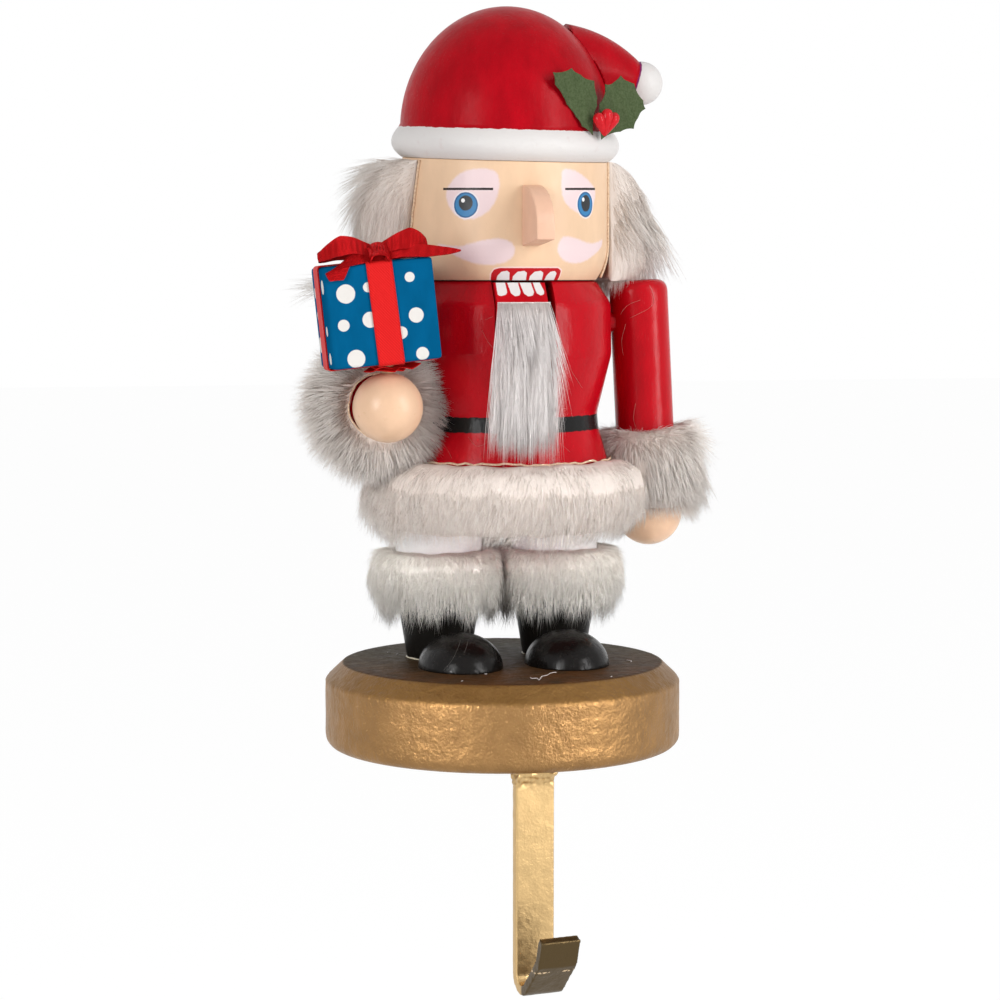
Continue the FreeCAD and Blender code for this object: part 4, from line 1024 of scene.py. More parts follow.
class PileTree:
    """The node tree that grows hairs on a backing."""

    def __init__(self) -> None:
        """Builds the tree with its named inputs."""
        self.tree = bpy.data.node_groups.new("pile", "GeometryNodeTree")
        self.ids: dict[str, str] = {}
        face = self.tree.interface
        kinds = {"Backing": "Geometry", "Hair": "Object", "Finish": "Material",
                 "Hairs per square metre": "Float",
                 "Length": "Float", "Lift": "Float", "Clump size": "Float", "Clump pull": "Float",
                 "Frizz": "Float", "Seed": "Int"}
        for label, kind in kinds.items():
            socket = face.new_socket(name=label, in_out="INPUT", socket_type=f"NodeSocket{kind}")
            self.ids[label] = socket.identifier
        face.new_socket(name="Fur", in_out="OUTPUT", socket_type="NodeSocketGeometry")
        self.build()

    def add(self, kind: str, inputs: dict[str | int, object] | None = None,
            **settings: object) -> bpy.types.Node:
        """A node with its settings and inputs."""
        node = self.tree.nodes.new(kind)
        for setting, value in settings.items():
            setattr(node, setting, value)
        for key, value in (inputs or {}).items():
            if isinstance(value, bpy.types.NodeSocket):
                self.tree.links.new(value, node.inputs[key])
            else:
                node.inputs[key].default_value = value
        return node

    def vector(self, operation: str, *values: object) -> bpy.types.NodeSocket:
        """The result of a vector sum; a scaling takes its factor last."""
        keys = [0, "Scale"] if operation == "SCALE" else [0, 1]
        node = self.add("ShaderNodeVectorMath", dict(zip(keys, values)), operation=operation)
        return node.outputs[0]

    def build(self) -> None:
        """Lays out the tree: points on the backing, their directions, the hairs and the backing itself."""
        given = self.add("NodeGroupInput").outputs
        cover = self.add("GeometryNodeInputNamedAttribute", {"Name": "cover"}, data_type="FLOAT").outputs[0]
        density = self.add("ShaderNodeMath", {0: given["Hairs per square metre"], 1: cover},
                           operation="MULTIPLY").outputs[0]
        points = self.add("GeometryNodeDistributePointsOnFaces", {
            "Mesh": given["Backing"], "Density": density, "Seed": given["Seed"]})
        flow = self.add("GeometryNodeInputNamedAttribute", {"Name": "flow"},
                        data_type="FLOAT_VECTOR").outputs[0]
        pile = self.add("GeometryNodeInputNamedAttribute", {"Name": "pile"}, data_type="FLOAT").outputs[0]
        spot = self.add("GeometryNodeInputPosition").outputs[0]
        cells = self.add("ShaderNodeMath", {0: 1.0, 1: given["Clump size"]}, operation="DIVIDE").outputs[0]
        clump = self.add("ShaderNodeTexVoronoi", {"Vector": spot, "Scale": cells}).outputs["Position"]
        pull = self.add("ShaderNodeMath", {0: given["Clump pull"], 1: given["Clump size"]},
                        operation="DIVIDE").outputs[0]
        to_clump = self.vector("SCALE", self.vector("SUBTRACT", clump, spot), pull)
        curl = self.add("FunctionNodeRandomValue", {0: (-1, -1, -1), 1: (1, 1, 1), "Seed": given["Seed"]},
                        data_type="FLOAT_VECTOR").outputs[0]
        way = self.vector("ADD", flow, self.vector("SCALE", points.outputs["Normal"], given["Lift"]))
        way = self.vector("ADD", self.vector("ADD", way, to_clump),
                          self.vector("SCALE", curl, given["Frizz"]))
        stand = self.add("FunctionNodeAlignRotationToVector", {"Vector": way}, axis="Z").outputs[0]
        lean = self.add("FunctionNodeAlignRotationToVector", {"Rotation": stand, "Vector": flow}, axis="X",
                        pivot_axis="Z").outputs[0]
        spread = self.add("FunctionNodeRandomValue", {2: 0.45, 3: 1.3, "Seed": given["Seed"]},
                          data_type="FLOAT").outputs[1]
        size = self.add("ShaderNodeMath", {0: pile, 1: spread}, operation="MULTIPLY").outputs[0]
        size = self.add("ShaderNodeMath", {0: size, 1: given["Length"]}, operation="MULTIPLY").outputs[0]
        hair = self.add("GeometryNodeObjectInfo", {"Object": given["Hair"]}).outputs["Geometry"]
        grown = self.add("GeometryNodeInstanceOnPoints", {
            "Points": points.outputs["Points"], "Instance": hair, "Rotation": lean, "Scale": size})
        shade = self.add("FunctionNodeRandomValue", {2: 0.0, 3: 1.0, "Seed": 5}, data_type="FLOAT").outputs[1]
        marked = self.add("GeometryNodeStoreNamedAttribute", {
            "Geometry": grown.outputs[0], "Name": "shade", "Value": shade}, data_type="FLOAT",
            domain="INSTANCE")
        real = self.add("GeometryNodeRealizeInstances", {0: marked.outputs[0]})
        both = self.add("GeometryNodeJoinGeometry")
        self.tree.links.new(real.outputs[0], both.inputs[0])
        self.tree.links.new(given["Backing"], both.inputs[0])
        finish = self.add("GeometryNodeSetMaterial",
                          {"Geometry": both.outputs[0], "Material": given["Finish"]})
        output = self.add("NodeGroupOutput")
        self.tree.links.new(finish.outputs[0], output.inputs[0])


@dataclass
class Pile:
    """How a fur's hairs stand: sizes in millimetres."""

    length: float = 8.0
    count: int = 16000
    lift: float = 0.35
    clump: float = 4.0
    pull: float = 0.7
    frizz: float = 0.18
    seed: int = 1
    kind: Hair = Hair.SHORT
    finish: str = "fur"

    def grow(self, backing: bpy.types.Object) -> bpy.types.Object:
        """Grows the hairs on a backing that has flow and pile stored, and makes it one plain mesh."""
        shared = PILE_PARTS
        if not shared:
            shared["tree"] = PileTree()
            for kind in Hair:
                shared[kind] = strand(f"{kind.name.lower()}_hair", *kind.value)
        tree = shared["tree"]
        dress(backing, self.finish)
        cover = np.empty(len(backing.data.vertices), np.float32)
        backing.data.attributes["cover"].data.foreach_get("value", cover)
        area = sum(face.area * float(cover[list(face.vertices)].mean()) for face in backing.data.polygons)
        modifier = backing.modifiers.new("pile", "NODES")
        modifier.node_group = tree.tree
        values = {"Hair": shared[self.kind], "Finish": MADE[self.finish],
                  "Hairs per square metre": self.count / area, "Length": self.length * MM, "Lift": self.lift,
                  "Clump size": self.clump * MM, "Clump pull": self.pull, "Frizz": self.frizz,
                  "Seed": self.seed}
        for label, value in values.items():
            modifier[tree.ids[label]] = value
        settle(backing)
        backing.data.shade_smooth()
        return backing


PILE_PARTS: dict[object, object] = {}


def comb(backing: bpy.types.Object, flow: np.ndarray, pile: np.ndarray, cover: np.ndarray) -> None:
    """Stores how the pile grows on a backing.

    Args:
        backing: the mesh that it grows on.
        flow: which way it lies at each point.
        pile: how long it is, as a share of its full length.
        cover: one where it grows and nothing where the backing is hidden.
    """
    length = np.linalg.norm(flow, axis=1, keepdims=True)
    tag(backing, "flow", flow / np.maximum(length, 1e-6))
    tag(backing, "pile", pile)
    tag(backing, "cover", np.clip(cover, 0, 1))
    # The backing reads as the hairs' roots, so it takes their painted shade.
    tag(backing, "along", np.zeros(len(pile)))
    tag(backing, "shade", np.full(len(pile), 0.6))


def bare(backing: bpy.types.Object, away: np.ndarray, limit: float = -0.3) -> np.ndarray:
    """One where the backing faces its outside and nothing where it faces its inside.

    Args:
        backing: the mesh.
        away: the outward direction at each point.
        limit: least share of the outward way that counts.

    Returns:
        One number for each point.
    """
    return ((normals_of(backing) * away).sum(axis=1) > limit).astype(float)


def fur_ring(name: str, profile: Sequence[Point], sides: int, matrix: Matrix, lump: float, seed: float,
             sweep: float = 360) -> bpy.types.Object:
    """A ring of fur backing with soft lumps.

    Args:
        name: the piece's name.
        profile: corners of its section, in order from the inside bottom.
        sides: steps round the ring.
        matrix: its frame.
        lump: height of the lumps.
        seed: shifts the lumps.
        sweep: degrees that the ring covers, centred on +Y.

    Returns:
        The backing.
    """
    soft = rounded([*profile, profile[0]], 1.2, 1.1)
    points, faces = lathe([*soft[:-1], soft[0]], sides, sweep)
    piece = make(name, moved(points, matrix), faces, 180)
    spots = corners_of(piece)
    reshape(piece, spots + normals_of(piece) * (dark_at(spots, 5.0, seed) * lump)[:, None])
    return piece


# Sub-assemblies


@dataclass
class Stand:
    """The cast base, the strap hook welded under it and the screws."""

    grain: float = 0.62
    strap_grain: float = 0.3

    def build(self) -> None:
        """Makes and dresses the stand."""
        base = worn_copy("base", "cast_base", self.grain, 2)
        spots = corners_of(base)
        rough = dark_at(spots, 3.0, 1) * 0.10 + dark_at(spots, 1.3, 2) * 0.05
        held = np.clip((spots[:, 2] - 0.4) / 1.0, 0, 1) * np.clip((21.0 - spots[:, 2]) / 0.6, 0.15, 1)
        reshape(base, spots + normals_of(base) * (rough * held)[:, None])
        fit(dress(base, "base_paint"), "base_paint", Body.HOLDER, "base")
        strap = worn_copy("hook_strap", "strap_hook", self.strap_grain, 2)
        spots = corners_of(strap)
        lumps = np.clip((spots[:, 2] + 4.2) / 1.0, 0, 1) * np.clip((0.1 - spots[:, 2]) / 0.4, 0, 1)
        height = dark_at(spots, 1.2, 3) * 0.55 * lumps + dark_at(spots, 2.5, 4) * 0.05
        reshape(strap, spots + normals_of(strap) * height[:, None])
        fit(dress(strap, "hook_paint"), "hook_paint", Body.HOLDER, "hook_strap")
        dress(frame["nodes"]["foot_screws"], "bare_steel")
        scraps = (((0.0, -30.3), (0.1, -31.9), (1.3, -31.8), (1.2, -34.4), (3.1, -29.4), (4.8, -27.7),
                   (6.6, -24.5), (8.2, -23.7)),
                  ((-17.6, -32.2), (-17.1, -31.6)), ((19.4, -33.6), (19.9, -32.9)),
                  ((-9.6, -22.7), (-9.0, -22.3)),
                  ((-26.2, 19.2), (-25.3, 19.9)), ((-24.6, 15.2), (-24.0, 16.0)),
                  ((30.6, -8.0), (31.4, -9.4), (30.9, -11.0)))
        lint = threads("lint_on_base", laid(base, scraps, True, 0.05), 0.085)
        fit(dress(lint, "white_fur"), "fur", Body.HOLDER)


@dataclass
class Legs:
    """Trousers, boots, toes and the fur round the boot tops."""

    middle: float = 0.8
    half: float = 15.25
    y: float = 10.0
    top: float = 58.0
    foot: float = 21.3
    trim: tuple[Point, ...] = ((11.3, 37.6), (12.6, 36.8), (15.0, 38.2), (17.0, 41.6), (17.1, 45.4),
                               (15.2, 48.6), (11.3, 49.2))
    # The boot fur uses the lighter fur copy, painted light against the hem's shade.
    pile: Pile = field(default_factory=lambda: Pile(6.4, 16400, 0.24, 3.4, 0.30, 0.22, 11,
                                                    finish="bright_fur"))

    def build(self) -> None:
        """Makes and dresses both legs."""
        for number, (side, sign) in enumerate((("left", 1), ("right", -1))):
            across = self.middle + sign * self.half
            height = self.top - self.foot
            profile = rounded([(0, 0), (8.2, 0), (9.8, 10), (9.8, 17.5), (11, 18.5), (11, height),
                               (0, height)], 0.6, 4)
            points, faces = lathe(profile, 96)
            leg = make(f"{side}_trouser_leg", moved(points, place(across, self.y, self.foot)), faces)
            fit(dress(leg, "leg_paint"), "leg_paint", Body.HOLDER, f"{side}_leg")
            bead = threads(f"{side}_foot_glue",
                           [hoop_run(8.25, 0.02, place(across, self.y, self.foot), 0.45, 14 + number)], 0.22,
                           6)
            fit(dress(bead, "glue"), "bare_wood", Body.HOLDER)
            toe = cad_copy(f"{side}_toe", f"{side}_boot_toe", 50)
            fit(dress(toe, "boot_paint"), "boot_paint", Body.HOLDER, f"{side}_toe")
            if sign < 0:
                marks = laid(toe, (((-14.2, 28.9), (-15.7, 27.0), (-17.4, 24.6), (-19.4, 22.2)),
                                   ((-12.4, 28.8), (-14.2, 26.4))), False, 0.0)
                fit(dress(threads("toe_scratch", marks, 0.055), "scuff"), "boot_paint", Body.HOLDER)
            self.trimmed(side, across, sign, number)
        dress(frame["nodes"]["arm_pegs"], "sleeve_paint")
        for node in ("leg_pegs", "neck_pegs", "left_wrist_peg", "right_wrist_peg", "elbow_peg", "gift_peg",
                     "hat_peg", "hat_tail_peg"):
            dress(frame["nodes"][node], "bare_wood")

    def trimmed(self, side: str, across: float, sign: int, number: int) -> None:
        """Makes one leg's fur."""
        ring = fur_ring(f"{side}_boot_fur", self.trim, 88, place(across, self.y, 0), 0.5, 20 + number)
        spots = corners_of(ring)
        gap = sign * (spots[:, 0] - self.middle)
        spots[:, 0] = np.where(gap < 0.35, self.middle + sign * 0.35, spots[:, 0])
        reshape(ring, spots)
        out = spots - [across, self.y, 0]
        out[:, 2] = 0
        out /= np.maximum(np.linalg.norm(out, axis=1, keepdims=True), 1e-6)
        share = (spots[:, 2] - 35.6) / 13
        crest = np.clip(share / 0.2 - 4, 0, 1)
        flow = out * (0.18 + 0.5 * crest - 0.55 * np.clip(0.4 - share, 0, 1))[:,
                                                                              None] + np.array([0, 0, -1.0])
        flow[:, 2] += 0.9 * crest
        flow[:, 0] *= np.where(sign * (spots[:, 0] - self.middle) < 2, 0.2, 1)
        flow[:, 0] += dark_at(spots, 7.0, 23 + number) * 0.22
        ragged = 1 + 1.1 * dark_at(spots * [1, 1, 0.3], 3.4, 27 + number)
        comb(ring, flow, 0.62 - 0.2 * crest + 0.5 * np.clip(1 - share * 2.2, 0, 1) * ragged, bare(ring, out))
        self.pile.seed += 1
        fit(self.pile.grow(ring), "fur", Body.HOLDER, f"{side}_leg_fur")


@dataclass
class Coat:
    """The turned coat with the jaw's slot, and the fur round its hem."""

    x: float = 1.3
    y: float = 3.0
    bottom: float = 58.0
    slot: tuple[float, float] = (-7.1, 8.1)
    slot_floor: float = 86.5
    trim: tuple[Point, ...] = ((27.4, -2.2), (28.9, -3.0), (31.8, -1.2), (34.9, 3.4), (35.7, 8.0),
                               (34.2, 12.0), (30.6, 14.4),
                               (26.6, 14.6))
    pile: Pile = field(default_factory=lambda: Pile(6.6, 17000, 0.24, 3.6, 0.14, 0.20, 31))

    def build(self) -> None:
        """Makes and dresses the coat."""
        corners = [(0, 0), (26.1, 0), (26.1, 14.4), (23.8, 22.3), (23.4, 26.2), (27.0, 41.0), (26.8, 53.8),
                   (23.0, 59.5), (0, 59.5)]
        points, faces = lathe(rounded(corners, 1.1, 2.0), 180)
        coat = make("turned_coat", moved(points, place(self.x, self.y, self.bottom)), faces, 25)
        tool = slab("slot_saw", (self.slot[0], -40, self.slot_floor), (self.slot[1], 45, 130))
        cut(coat, tool, 25)
        fit(dress(coat, "coat_paint"), "coat_paint", Body.HOLDER, "torso")
        ring = fur_ring("hem_fur", self.trim, 150, place(self.x, self.y, self.bottom), 0.6, 41)
        spots = corners_of(ring)
        out = spots - [self.x, self.y, 0]
        out[:, 2] = 0
        out /= np.maximum(np.linalg.norm(out, axis=1, keepdims=True), 1e-6)
        share = (spots[:, 2] - self.bottom + 3.2) / 17.1
        crest = np.clip(share / 0.14 - 6.1, 0, 1)
        flow = out * (0.14 + 0.9 * crest - 0.75 * np.clip(0.45 - share, 0, 1))[:,
                                                                               None] + np.array([0, 0, -1.0])
        flow[:, 0] += dark_at(spots, 8.0, 43) * 0.45 - 0.16
        flow[:, 2] += dark_at(spots, 5.0, 45) * 0.3 + 0.5 * crest
        between = np.clip(1.4 - np.abs(spots[:, 0] - 7.0) / 9, 0, 1) * np.clip(1.3 - share * 3, 0, 1)
        tucked = 0.35 * np.clip(1 - share * 2.5, 0, 1) * np.clip(-spots[:, 1] / 10, 0, 1)
        fall = 0.8 - 0.25 * crest - tucked + 1.7 * between * np.where(spots[:, 1] > 10, 1.0, 0.15)
        comb(ring, flow, fall * (1 + 0.3 * dark_at(spots * [1, 1, 0.3], 4.0, 44)), bare(ring, out))
        fit(self.pile.grow(ring), "fur", Body.HOLDER, "coat_fur")
        dress(frame["nodes"]["jaw_pin"], "bare_steel")
        seam = threads("hem_cloth_edge", [hoop_run(26.9, 14.75, place(self.x, self.y, self.bottom), 0.6, 46)],
                       0.28, 5)
        fit(dress(seam, "backing"), "fur", Body.HOLDER)
        loose = (((-20.7, 80.0), (-19.5, 79.7), (-18.2, 78.1), (-17.2, 76.3), (-16.3, 74.1)),
                 ((-20.1, 79.2), (-18.9, 77.8), (-18.6, 75.9), (-19.6, 73.9), (-20.8, 73.4)),
                 ((8.9, 78.3), (10.7, 77.0), (12.6, 75.4)), ((11.2, 97.5), (13.2, 94.7), (16.3, 91.1)),
                 ((-10.0, 105.6), (-8.9, 103.2), (-7.6, 101.3)),
                 ((-9.3, 108.1), (-8.2, 108.6), (-7.4, 108.9)),
                 ((-12.5, 79.4), (-10.8, 77.2), (-8.6, 77.9), (-7.9, 79.1)))
        fit(dress(threads("loose_hairs", laid(coat, loose, False, 0.1), 0.03, 3), "stray_fur"), "fur",
            Body.HOLDER)


@dataclass
class Head:
    """The turned head with its painted face, the nose and the fur hair."""

    x: float = 1.3
    y: float = 3.0
    neck: float = 117.5
    radius: float = 25.8
    hat: Matrix = field(default_factory=lambda: place(1.3, 3, 147.9, 0, 0.8, 3.3))
    pile: Pile = field(default_factory=lambda: Pile(11.5, 17600, 0.20, 4.0, 0.26, 0.17, 51, Hair.FINE))

    def build(self) -> None:
        """Makes and dresses the head."""
        corners = [(0, 0), (22.9, 0), *arc((23.0, 0.1), (25.8, 10), 0.9, 8), (25.8, 10), (25.8, 30.4),
                   (0, 30.4)]
        points, faces = lathe(rounded(corners, 0.3, 0.42), 400)
        spots = points + [self.x, self.y, self.neck]
        seat = np.array(self.hat)
        level = seat[2, 3] - (seat[0, 2] * (spots[:, 0] - self.x) + seat[1,
                                                                         2] * (spots[:,
                                                                                     1] - self.y)) / seat[2,
                                                                                                          2]
        share = np.clip((points[:, 2] - 24) / 6.4, 0, 1)
        spots[:, 2] += share * (level - 147.9 - 0.05)
        head = make("turned_head", spots, faces, 35)
        self.paint(head)
        fit(dress(head, "face_paint"), "face_paint", Body.HOLDER, "head")
        nose = worn_copy("nose", "carved_nose", 0.24, 5)
        fit(dress(nose, "nose_paint"), "face_paint", Body.HOLDER, "nose")
        self.hair()

    def paint(self, head: bpy.types.Object) -> None:
        """Stores where each painted feature of the face lies."""
        spots = corners_of(head)
        dx, dy = spots[:, 0] - self.x, spots[:, 1] - self.y
        flat = np.column_stack((np.arctan2(dx, -dy) * self.radius, spots[:, 2] - self.neck))
        flat[np.hypot(dx, dy) < 21] = (99, 50)
        tag(head, "flat", np.column_stack((flat, np.zeros(len(flat)))))
        brow_left = [(-21.2, 21.5), (-19.4, 24.5), (-16.5, 26.4), (-13.2, 27.2), (-9.4, 27.1), (-7.5, 26.0),
                     (-7.0, 23.5),
                     (-7.6, 20.4), (-9.1, 17.5), (-11.0, 16.0), (-13.5, 14.9), (-16.6, 14.9), (-19.3, 16.7),
                     (-20.8, 19.2)]
        brow_right = [(8.7, 22.3), (8.7, 25.7), (9.2, 27.3), (11.9, 27.2), (15.8, 25.8), (19.6, 23.7),
                      (21.4, 22.2),
                      (20.9, 19.8), (18.8, 16.7), (14.6, 16.1), (10.6, 18.2), (9.0, 20.3)]
        tache_left = [(-24.4, 9.3), (-21.0, 8.6), (-17.1, 8.3), (-13.9, 9.3), (-9.9, 10.1), (-7.0, 10.4),
                      (-4.4, 9.7),
                      (-3.2, 7.6), (-4.0, 5.5), (-6.3, 4.3), (-9.6, 3.8), (-13.7, 4.2), (-17.3, 5.5),
                      (-20.9, 7.3)]
        tache_right = [(7.6, 7.0), (7.7, 8.8), (8.8, 10.5), (10.1, 10.9), (13.0, 10.5), (17.8, 9.2),
                       (22.2, 9.4),
                       (26.4, 10.6), (25.0, 8.4), (22.4, 7.0), (20.0, 6.0), (16.6, 4.5), (12.9, 4.2),
                       (9.4, 5.0)]
        shapes = [brow_left, brow_right, tache_left, tache_right]
        tag(head, "lilac", np.min([far_from(flat, soft_outline(shape)) for shape in shapes], axis=0))
        mouth = [(-9.9, -0.8), (-9.45, 1.7), (-8.6, 2.8), (-7.1, 3.15), (8.5, 3.15), (9.6, 2.5), (9.7, 1.2),
                 (9.4, -0.8)]
        lip = far_from(flat, mouth)
        tag(head, "lip_edge", lip - 0.32)
        tag(head, "lip", lip)
        teeth = [[(-8.6, -0.8), (-8.0, 1.2), (-6.8, 2.35), (-5.2, 2.6), (-4.5, 2.1), (-4.5, -0.8)],
                 [(-4.1, -0.8), (-3.8, 1.2), (-2.6, 2.35), (-0.8, 2.6), (0.05, 2.1), (0.1, -0.8)],
                 [(0.55, -0.8), (0.8, 1.2), (1.9, 2.35), (3.6, 2.6), (4.6, 2.1), (4.75, -0.8)],
                 [(5.1, -0.8), (5.4, 1.2), (6.3, 2.3), (7.8, 2.55), (8.6, 1.9), (8.35, -0.8)]]
        tag(head, "tooth", np.min([far_from(flat, shape) for shape in teeth], axis=0) + 0.12)
        tag(head, "seam", flat[:, 1] - 0.28)

    def hair(self) -> None:
        """Makes the hair that wraps the head's sides and back, with the long part behind."""
        profile = [(26.2, 0.6), (31.5, -0.2), (34.6, 4), (35.2, 10), (35.0, 17), (33.8, 22.5), (31.6, 27.0),
                   (28.4, 29.6), (26.2, 29.9)]
        piece = fur_ring("fur_hair", profile, 130, place(self.x, self.y, self.neck), 0.6, 61, 212)
        spots = corners_of(piece)
        angle = np.degrees(np.arctan2(spots[:, 0] - self.x, spots[:, 1] - self.y))
        left = np.clip(-angle / 80, 0, 1)
        behind = np.clip((62 - np.abs(angle)) / 14, 0, 1)
        low = np.clip((self.neck + 8 - spots[:, 2]) / 10, 0, 1)
        spots[:, 2] -= behind * low * 11.5
        out = spots - [self.x, self.y, 0]
        out[:, 2] = 0
        radius = np.linalg.norm(out, axis=1)
        out /= np.maximum(radius, 1e-6)[:, None]
        edge = np.sqrt(np.clip((106.2 - np.abs(angle)) / 14, 0.02,
                               1)) * (1 + 0.14 * left + 0.22 * np.clip(angle / 80, 0, 1))
        wanted = np.maximum(26.2 + (radius - 26.2) * edge, 28.2 * behind * low)
        spots += out * (wanted - radius)[:, None]
        lean = np.radians(np.interp(spots[:, 2] - self.neck, [8, 29],
                                    [5.5, -6.5])) * np.clip((-angle - 60) / 46, 0, 1)
        east, north = spots[:, 0] - self.x, spots[:, 1] - self.y
        spots[:, 0] = self.x + east * np.cos(lean) + north * np.sin(lean)
        spots[:, 1] = self.y + north * np.cos(lean) - east * np.sin(lean)
        reshape(piece, spots)
        share = np.clip((spots[:, 2] - self.neck) / 29, 0, 1)
        high = np.clip((share - 0.62) / 0.38, 0, 1)
        flare = np.clip(1 - share * 2.6, 0, 1) * (1 - behind)
        middle = np.clip(1 - np.abs(share - 0.5) / 0.4, 0, 1) * (1 - left) * (1 - behind)
        flow = out * (0.16 + high * (0.4 + 0.7 * left) + flare * (1.8 * left - 0.25) + 0.6 * middle)[:, None]
        flow[:, 2] += -1.0 + 0.65 * high * left + 0.75 * flare * left
        flow += np.array([0, 0.15, 0]) + np.column_stack([dark_at(spots, 6.0, seed) * 0.24
                                                          for seed in (64, 65, 66)])
        inner = np.clip((106 - np.abs(angle)) / 35, 0, 1)
        tuft = 1 + 0.55 * dark_at(spots * [1, 1, 0.5], 4.5, 67)
        pile = (0.42 + 0.5 * inner) * (1 - 0.25 * (1 - left) * flare) + left * 0.75 * flare + 0.4 * middle
        comb(piece, flow, pile * tuft, bare(piece, out, -0.6))
        fit(self.pile.grow(piece), "fur", Body.HOLDER, "hair")
        strips = []
        for sign in (-1, 1):
            heights = np.linspace(0.8, 29.6, 60)
            stray = dark_at(np.column_stack((heights, heights * 0, heights * 0)), 2.6, 68 + sign) * 0.6
            lean = np.interp(heights, [8, 29], [-5.5, 6.5]) if sign < 0 else 0
            turn = np.radians(sign * (106.6 + stray + lean))
            reach = 25.8 + 0.22 - np.clip(9 - heights, 0, 9) ** 2 * 0.028
            strips.append(np.column_stack((self.x + reach * np.sin(turn), self.y + reach * np.cos(turn),
                                           self.neck + heights)))
        fit(dress(threads("hair_cloth_edge", strips, 0.36, 6), "backing"), "fur", Body.HOLDER)


@dataclass
class Jaw:
    """The jaw with its painted teeth, its lever and the fur beard."""

    x: float = -0.4
    y: float = 3.0
    z: float = 95.0
    width: float = 12.8
    pile: Pile = field(default_factory=lambda: Pile(31.0, 10800, 0.04, 3.0, 0.10, 0.035, 71, Hair.LONG,
                                                    "white_fur"))

    def build(self) -> None:
        """Makes and dresses the jaw."""
        edge = [(-23.0, 22.1), (-27.1, 16.8), (-27.1, 4.2), (-14.9, -4.2), (29.5, -4.2), (29.5, -21.2),
                (34.5, -21.2),
                (34.5, 1.7), (32.0, 4.2), (-14.9, 4.2), (-14.9, 22.1)]
        loop = rounded([*edge, edge[0]], 0.3, 0.42)[:-1]
        columns = 32
        span = np.linspace(-self.width / 2, self.width / 2, columns + 1)
        points = np.array([(self.x + across, self.y + y, self.z + z) for across in span for y, z in loop])
        count = len(loop)
        faces: list[tuple[int, ...]] = []
        for column in range(columns):
            for spot in range(count):
                after = (spot + 1) % count
                faces.append((column * count + spot, (column + 1) * count + spot,
                              (column + 1) * count + after, column * count + after))
        faces.append(tuple(range(count)))
        faces.append(tuple(columns * count + spot for spot in reversed(range(count))))
        lever = make("jaw_and_lever", points, faces, 30)
        face_out(lever)
        bore, bore_faces = lathe([(0, -10), (1.55, -10), (1.55, 10), (0, 10)], 32)
        cut(lever, make("bore", moved(bore, place(self.x, self.y, self.z, 0, 90)), bore_faces), 30)
        spots = corners_of(lever)
        down = np.where(spots[:, 2] > 111.8, (117.1 - spots[:, 2]) * 6.7 / 5.3, 6.7 + 111.8 - spots[:, 2])
        flat = np.column_stack((spots[:, 0] - self.x, down))
        flat[spots[:, 1] > self.y - 20] = (50, 50)
        teeth = [[(-5.9, -0.5), (-3.6, -0.5), (-3.4, 3.0), (-3.9, 3.7), (-5.0, 4.1), (-5.9, 3.9)],
                 [(-3.1, -0.5), (-0.4, -0.5), (-0.1, 2.9), (-0.5, 3.9), (-1.6, 4.2), (-2.5, 3.3)],
                 [(0.0, -0.5), (2.8, -0.5), (3.3, 2.9), (2.9, 3.9), (1.7, 4.25), (0.7, 3.3)],
                 [(3.3, -0.5), (5.0, -0.5), (5.9, 2.7), (5.7, 3.5), (4.9, 4.0), (3.9, 3.2)]]
        tag(lever, "tooth", np.min([far_from(flat, shape) for shape in teeth], axis=0))
        fit(dress(lever, "jaw_paint"), "coat_paint", Body.JAW, "jaw_lever")
        self.beard()

    def beard(self) -> None:
        """Makes the long straight beard glued to the jaw."""
        rows, columns, depth = 30, 18, 3.0
        points, faces = [], []
        for layer in (0, 1):
            for row in range(rows + 1):
                share = row / rows
                half = 6.6 - 0.7 * share
                for column in range(columns + 1):
                    across = -1 + 2 * column / columns
                    swell = math.sin(math.pi * min(1, share * 1.2))
                    crown = depth * (1 - abs(across) ** 3) * (0.75 + 0.25 * swell)
                    y = -24.35 - 1.5 * share - (crown * layer if layer else 0.0)
                    points.append((-0.2 + across * half - 1.1 * share, y, 112.4 - 26.5 * share))
        size = (rows + 1) * (columns + 1)
        for row in range(rows):
            for column in range(columns):
                a = row * (columns + 1) + column
                b, c, d = a + 1, a + columns + 2, a + columns + 1
                faces.append((a, b, c, d))
                faces.append((size + a, size + d, size + c, size + b))
        rim = [column for column in range(columns)] + [row * (columns + 1) + columns for row in range(rows)]
        rim += [rows * (columns + 1) + columns - column for column in range(columns)]
        rim += [(rows - row) * (columns + 1) for row in range(rows)]
        for a, b in zip(rim, rim[1:] + rim[:1]):
            faces.append((a, size + a, size + b, b))
        piece = make("fur_beard", np.array(points), faces, 60)
        face_out(piece)
        spots = corners_of(piece)
        flow = np.tile([0.0, -0.04, -1.0], (len(spots), 1))
        flow[:, 0] = (spots[:, 0] + 0.7) * 0.006 - 0.015 + dark_at(spots, 6.0, 73) * 0.05
        crown = np.clip((spots[:, 2] - 110.2) / 1.8, 0, 1)
        flow[:, 0] += crown * dark_at(spots, 1.2, 75) * 0.35
        flow[:, 1] -= crown * 0.42
        flow[:, 2] += crown * 0.35
        reach = (spots[:, 2] - 79.6 + dark_at(spots, 2.0, 74) * 4) / 32
        glued = -24.35 - 1.5 * (112.4 - spots[:, 2]) / 26.5
        cover = np.where(spots[:, 1] < glued - 0.1, 0.6 + 0.4 * crown, 0.0)
        comb(piece, flow, np.clip(reach, 0.12, 1.0) * (1 - 0.55 * crown), cover)
        fit(self.pile.grow(piece), "fur", Body.JAW, "beard")


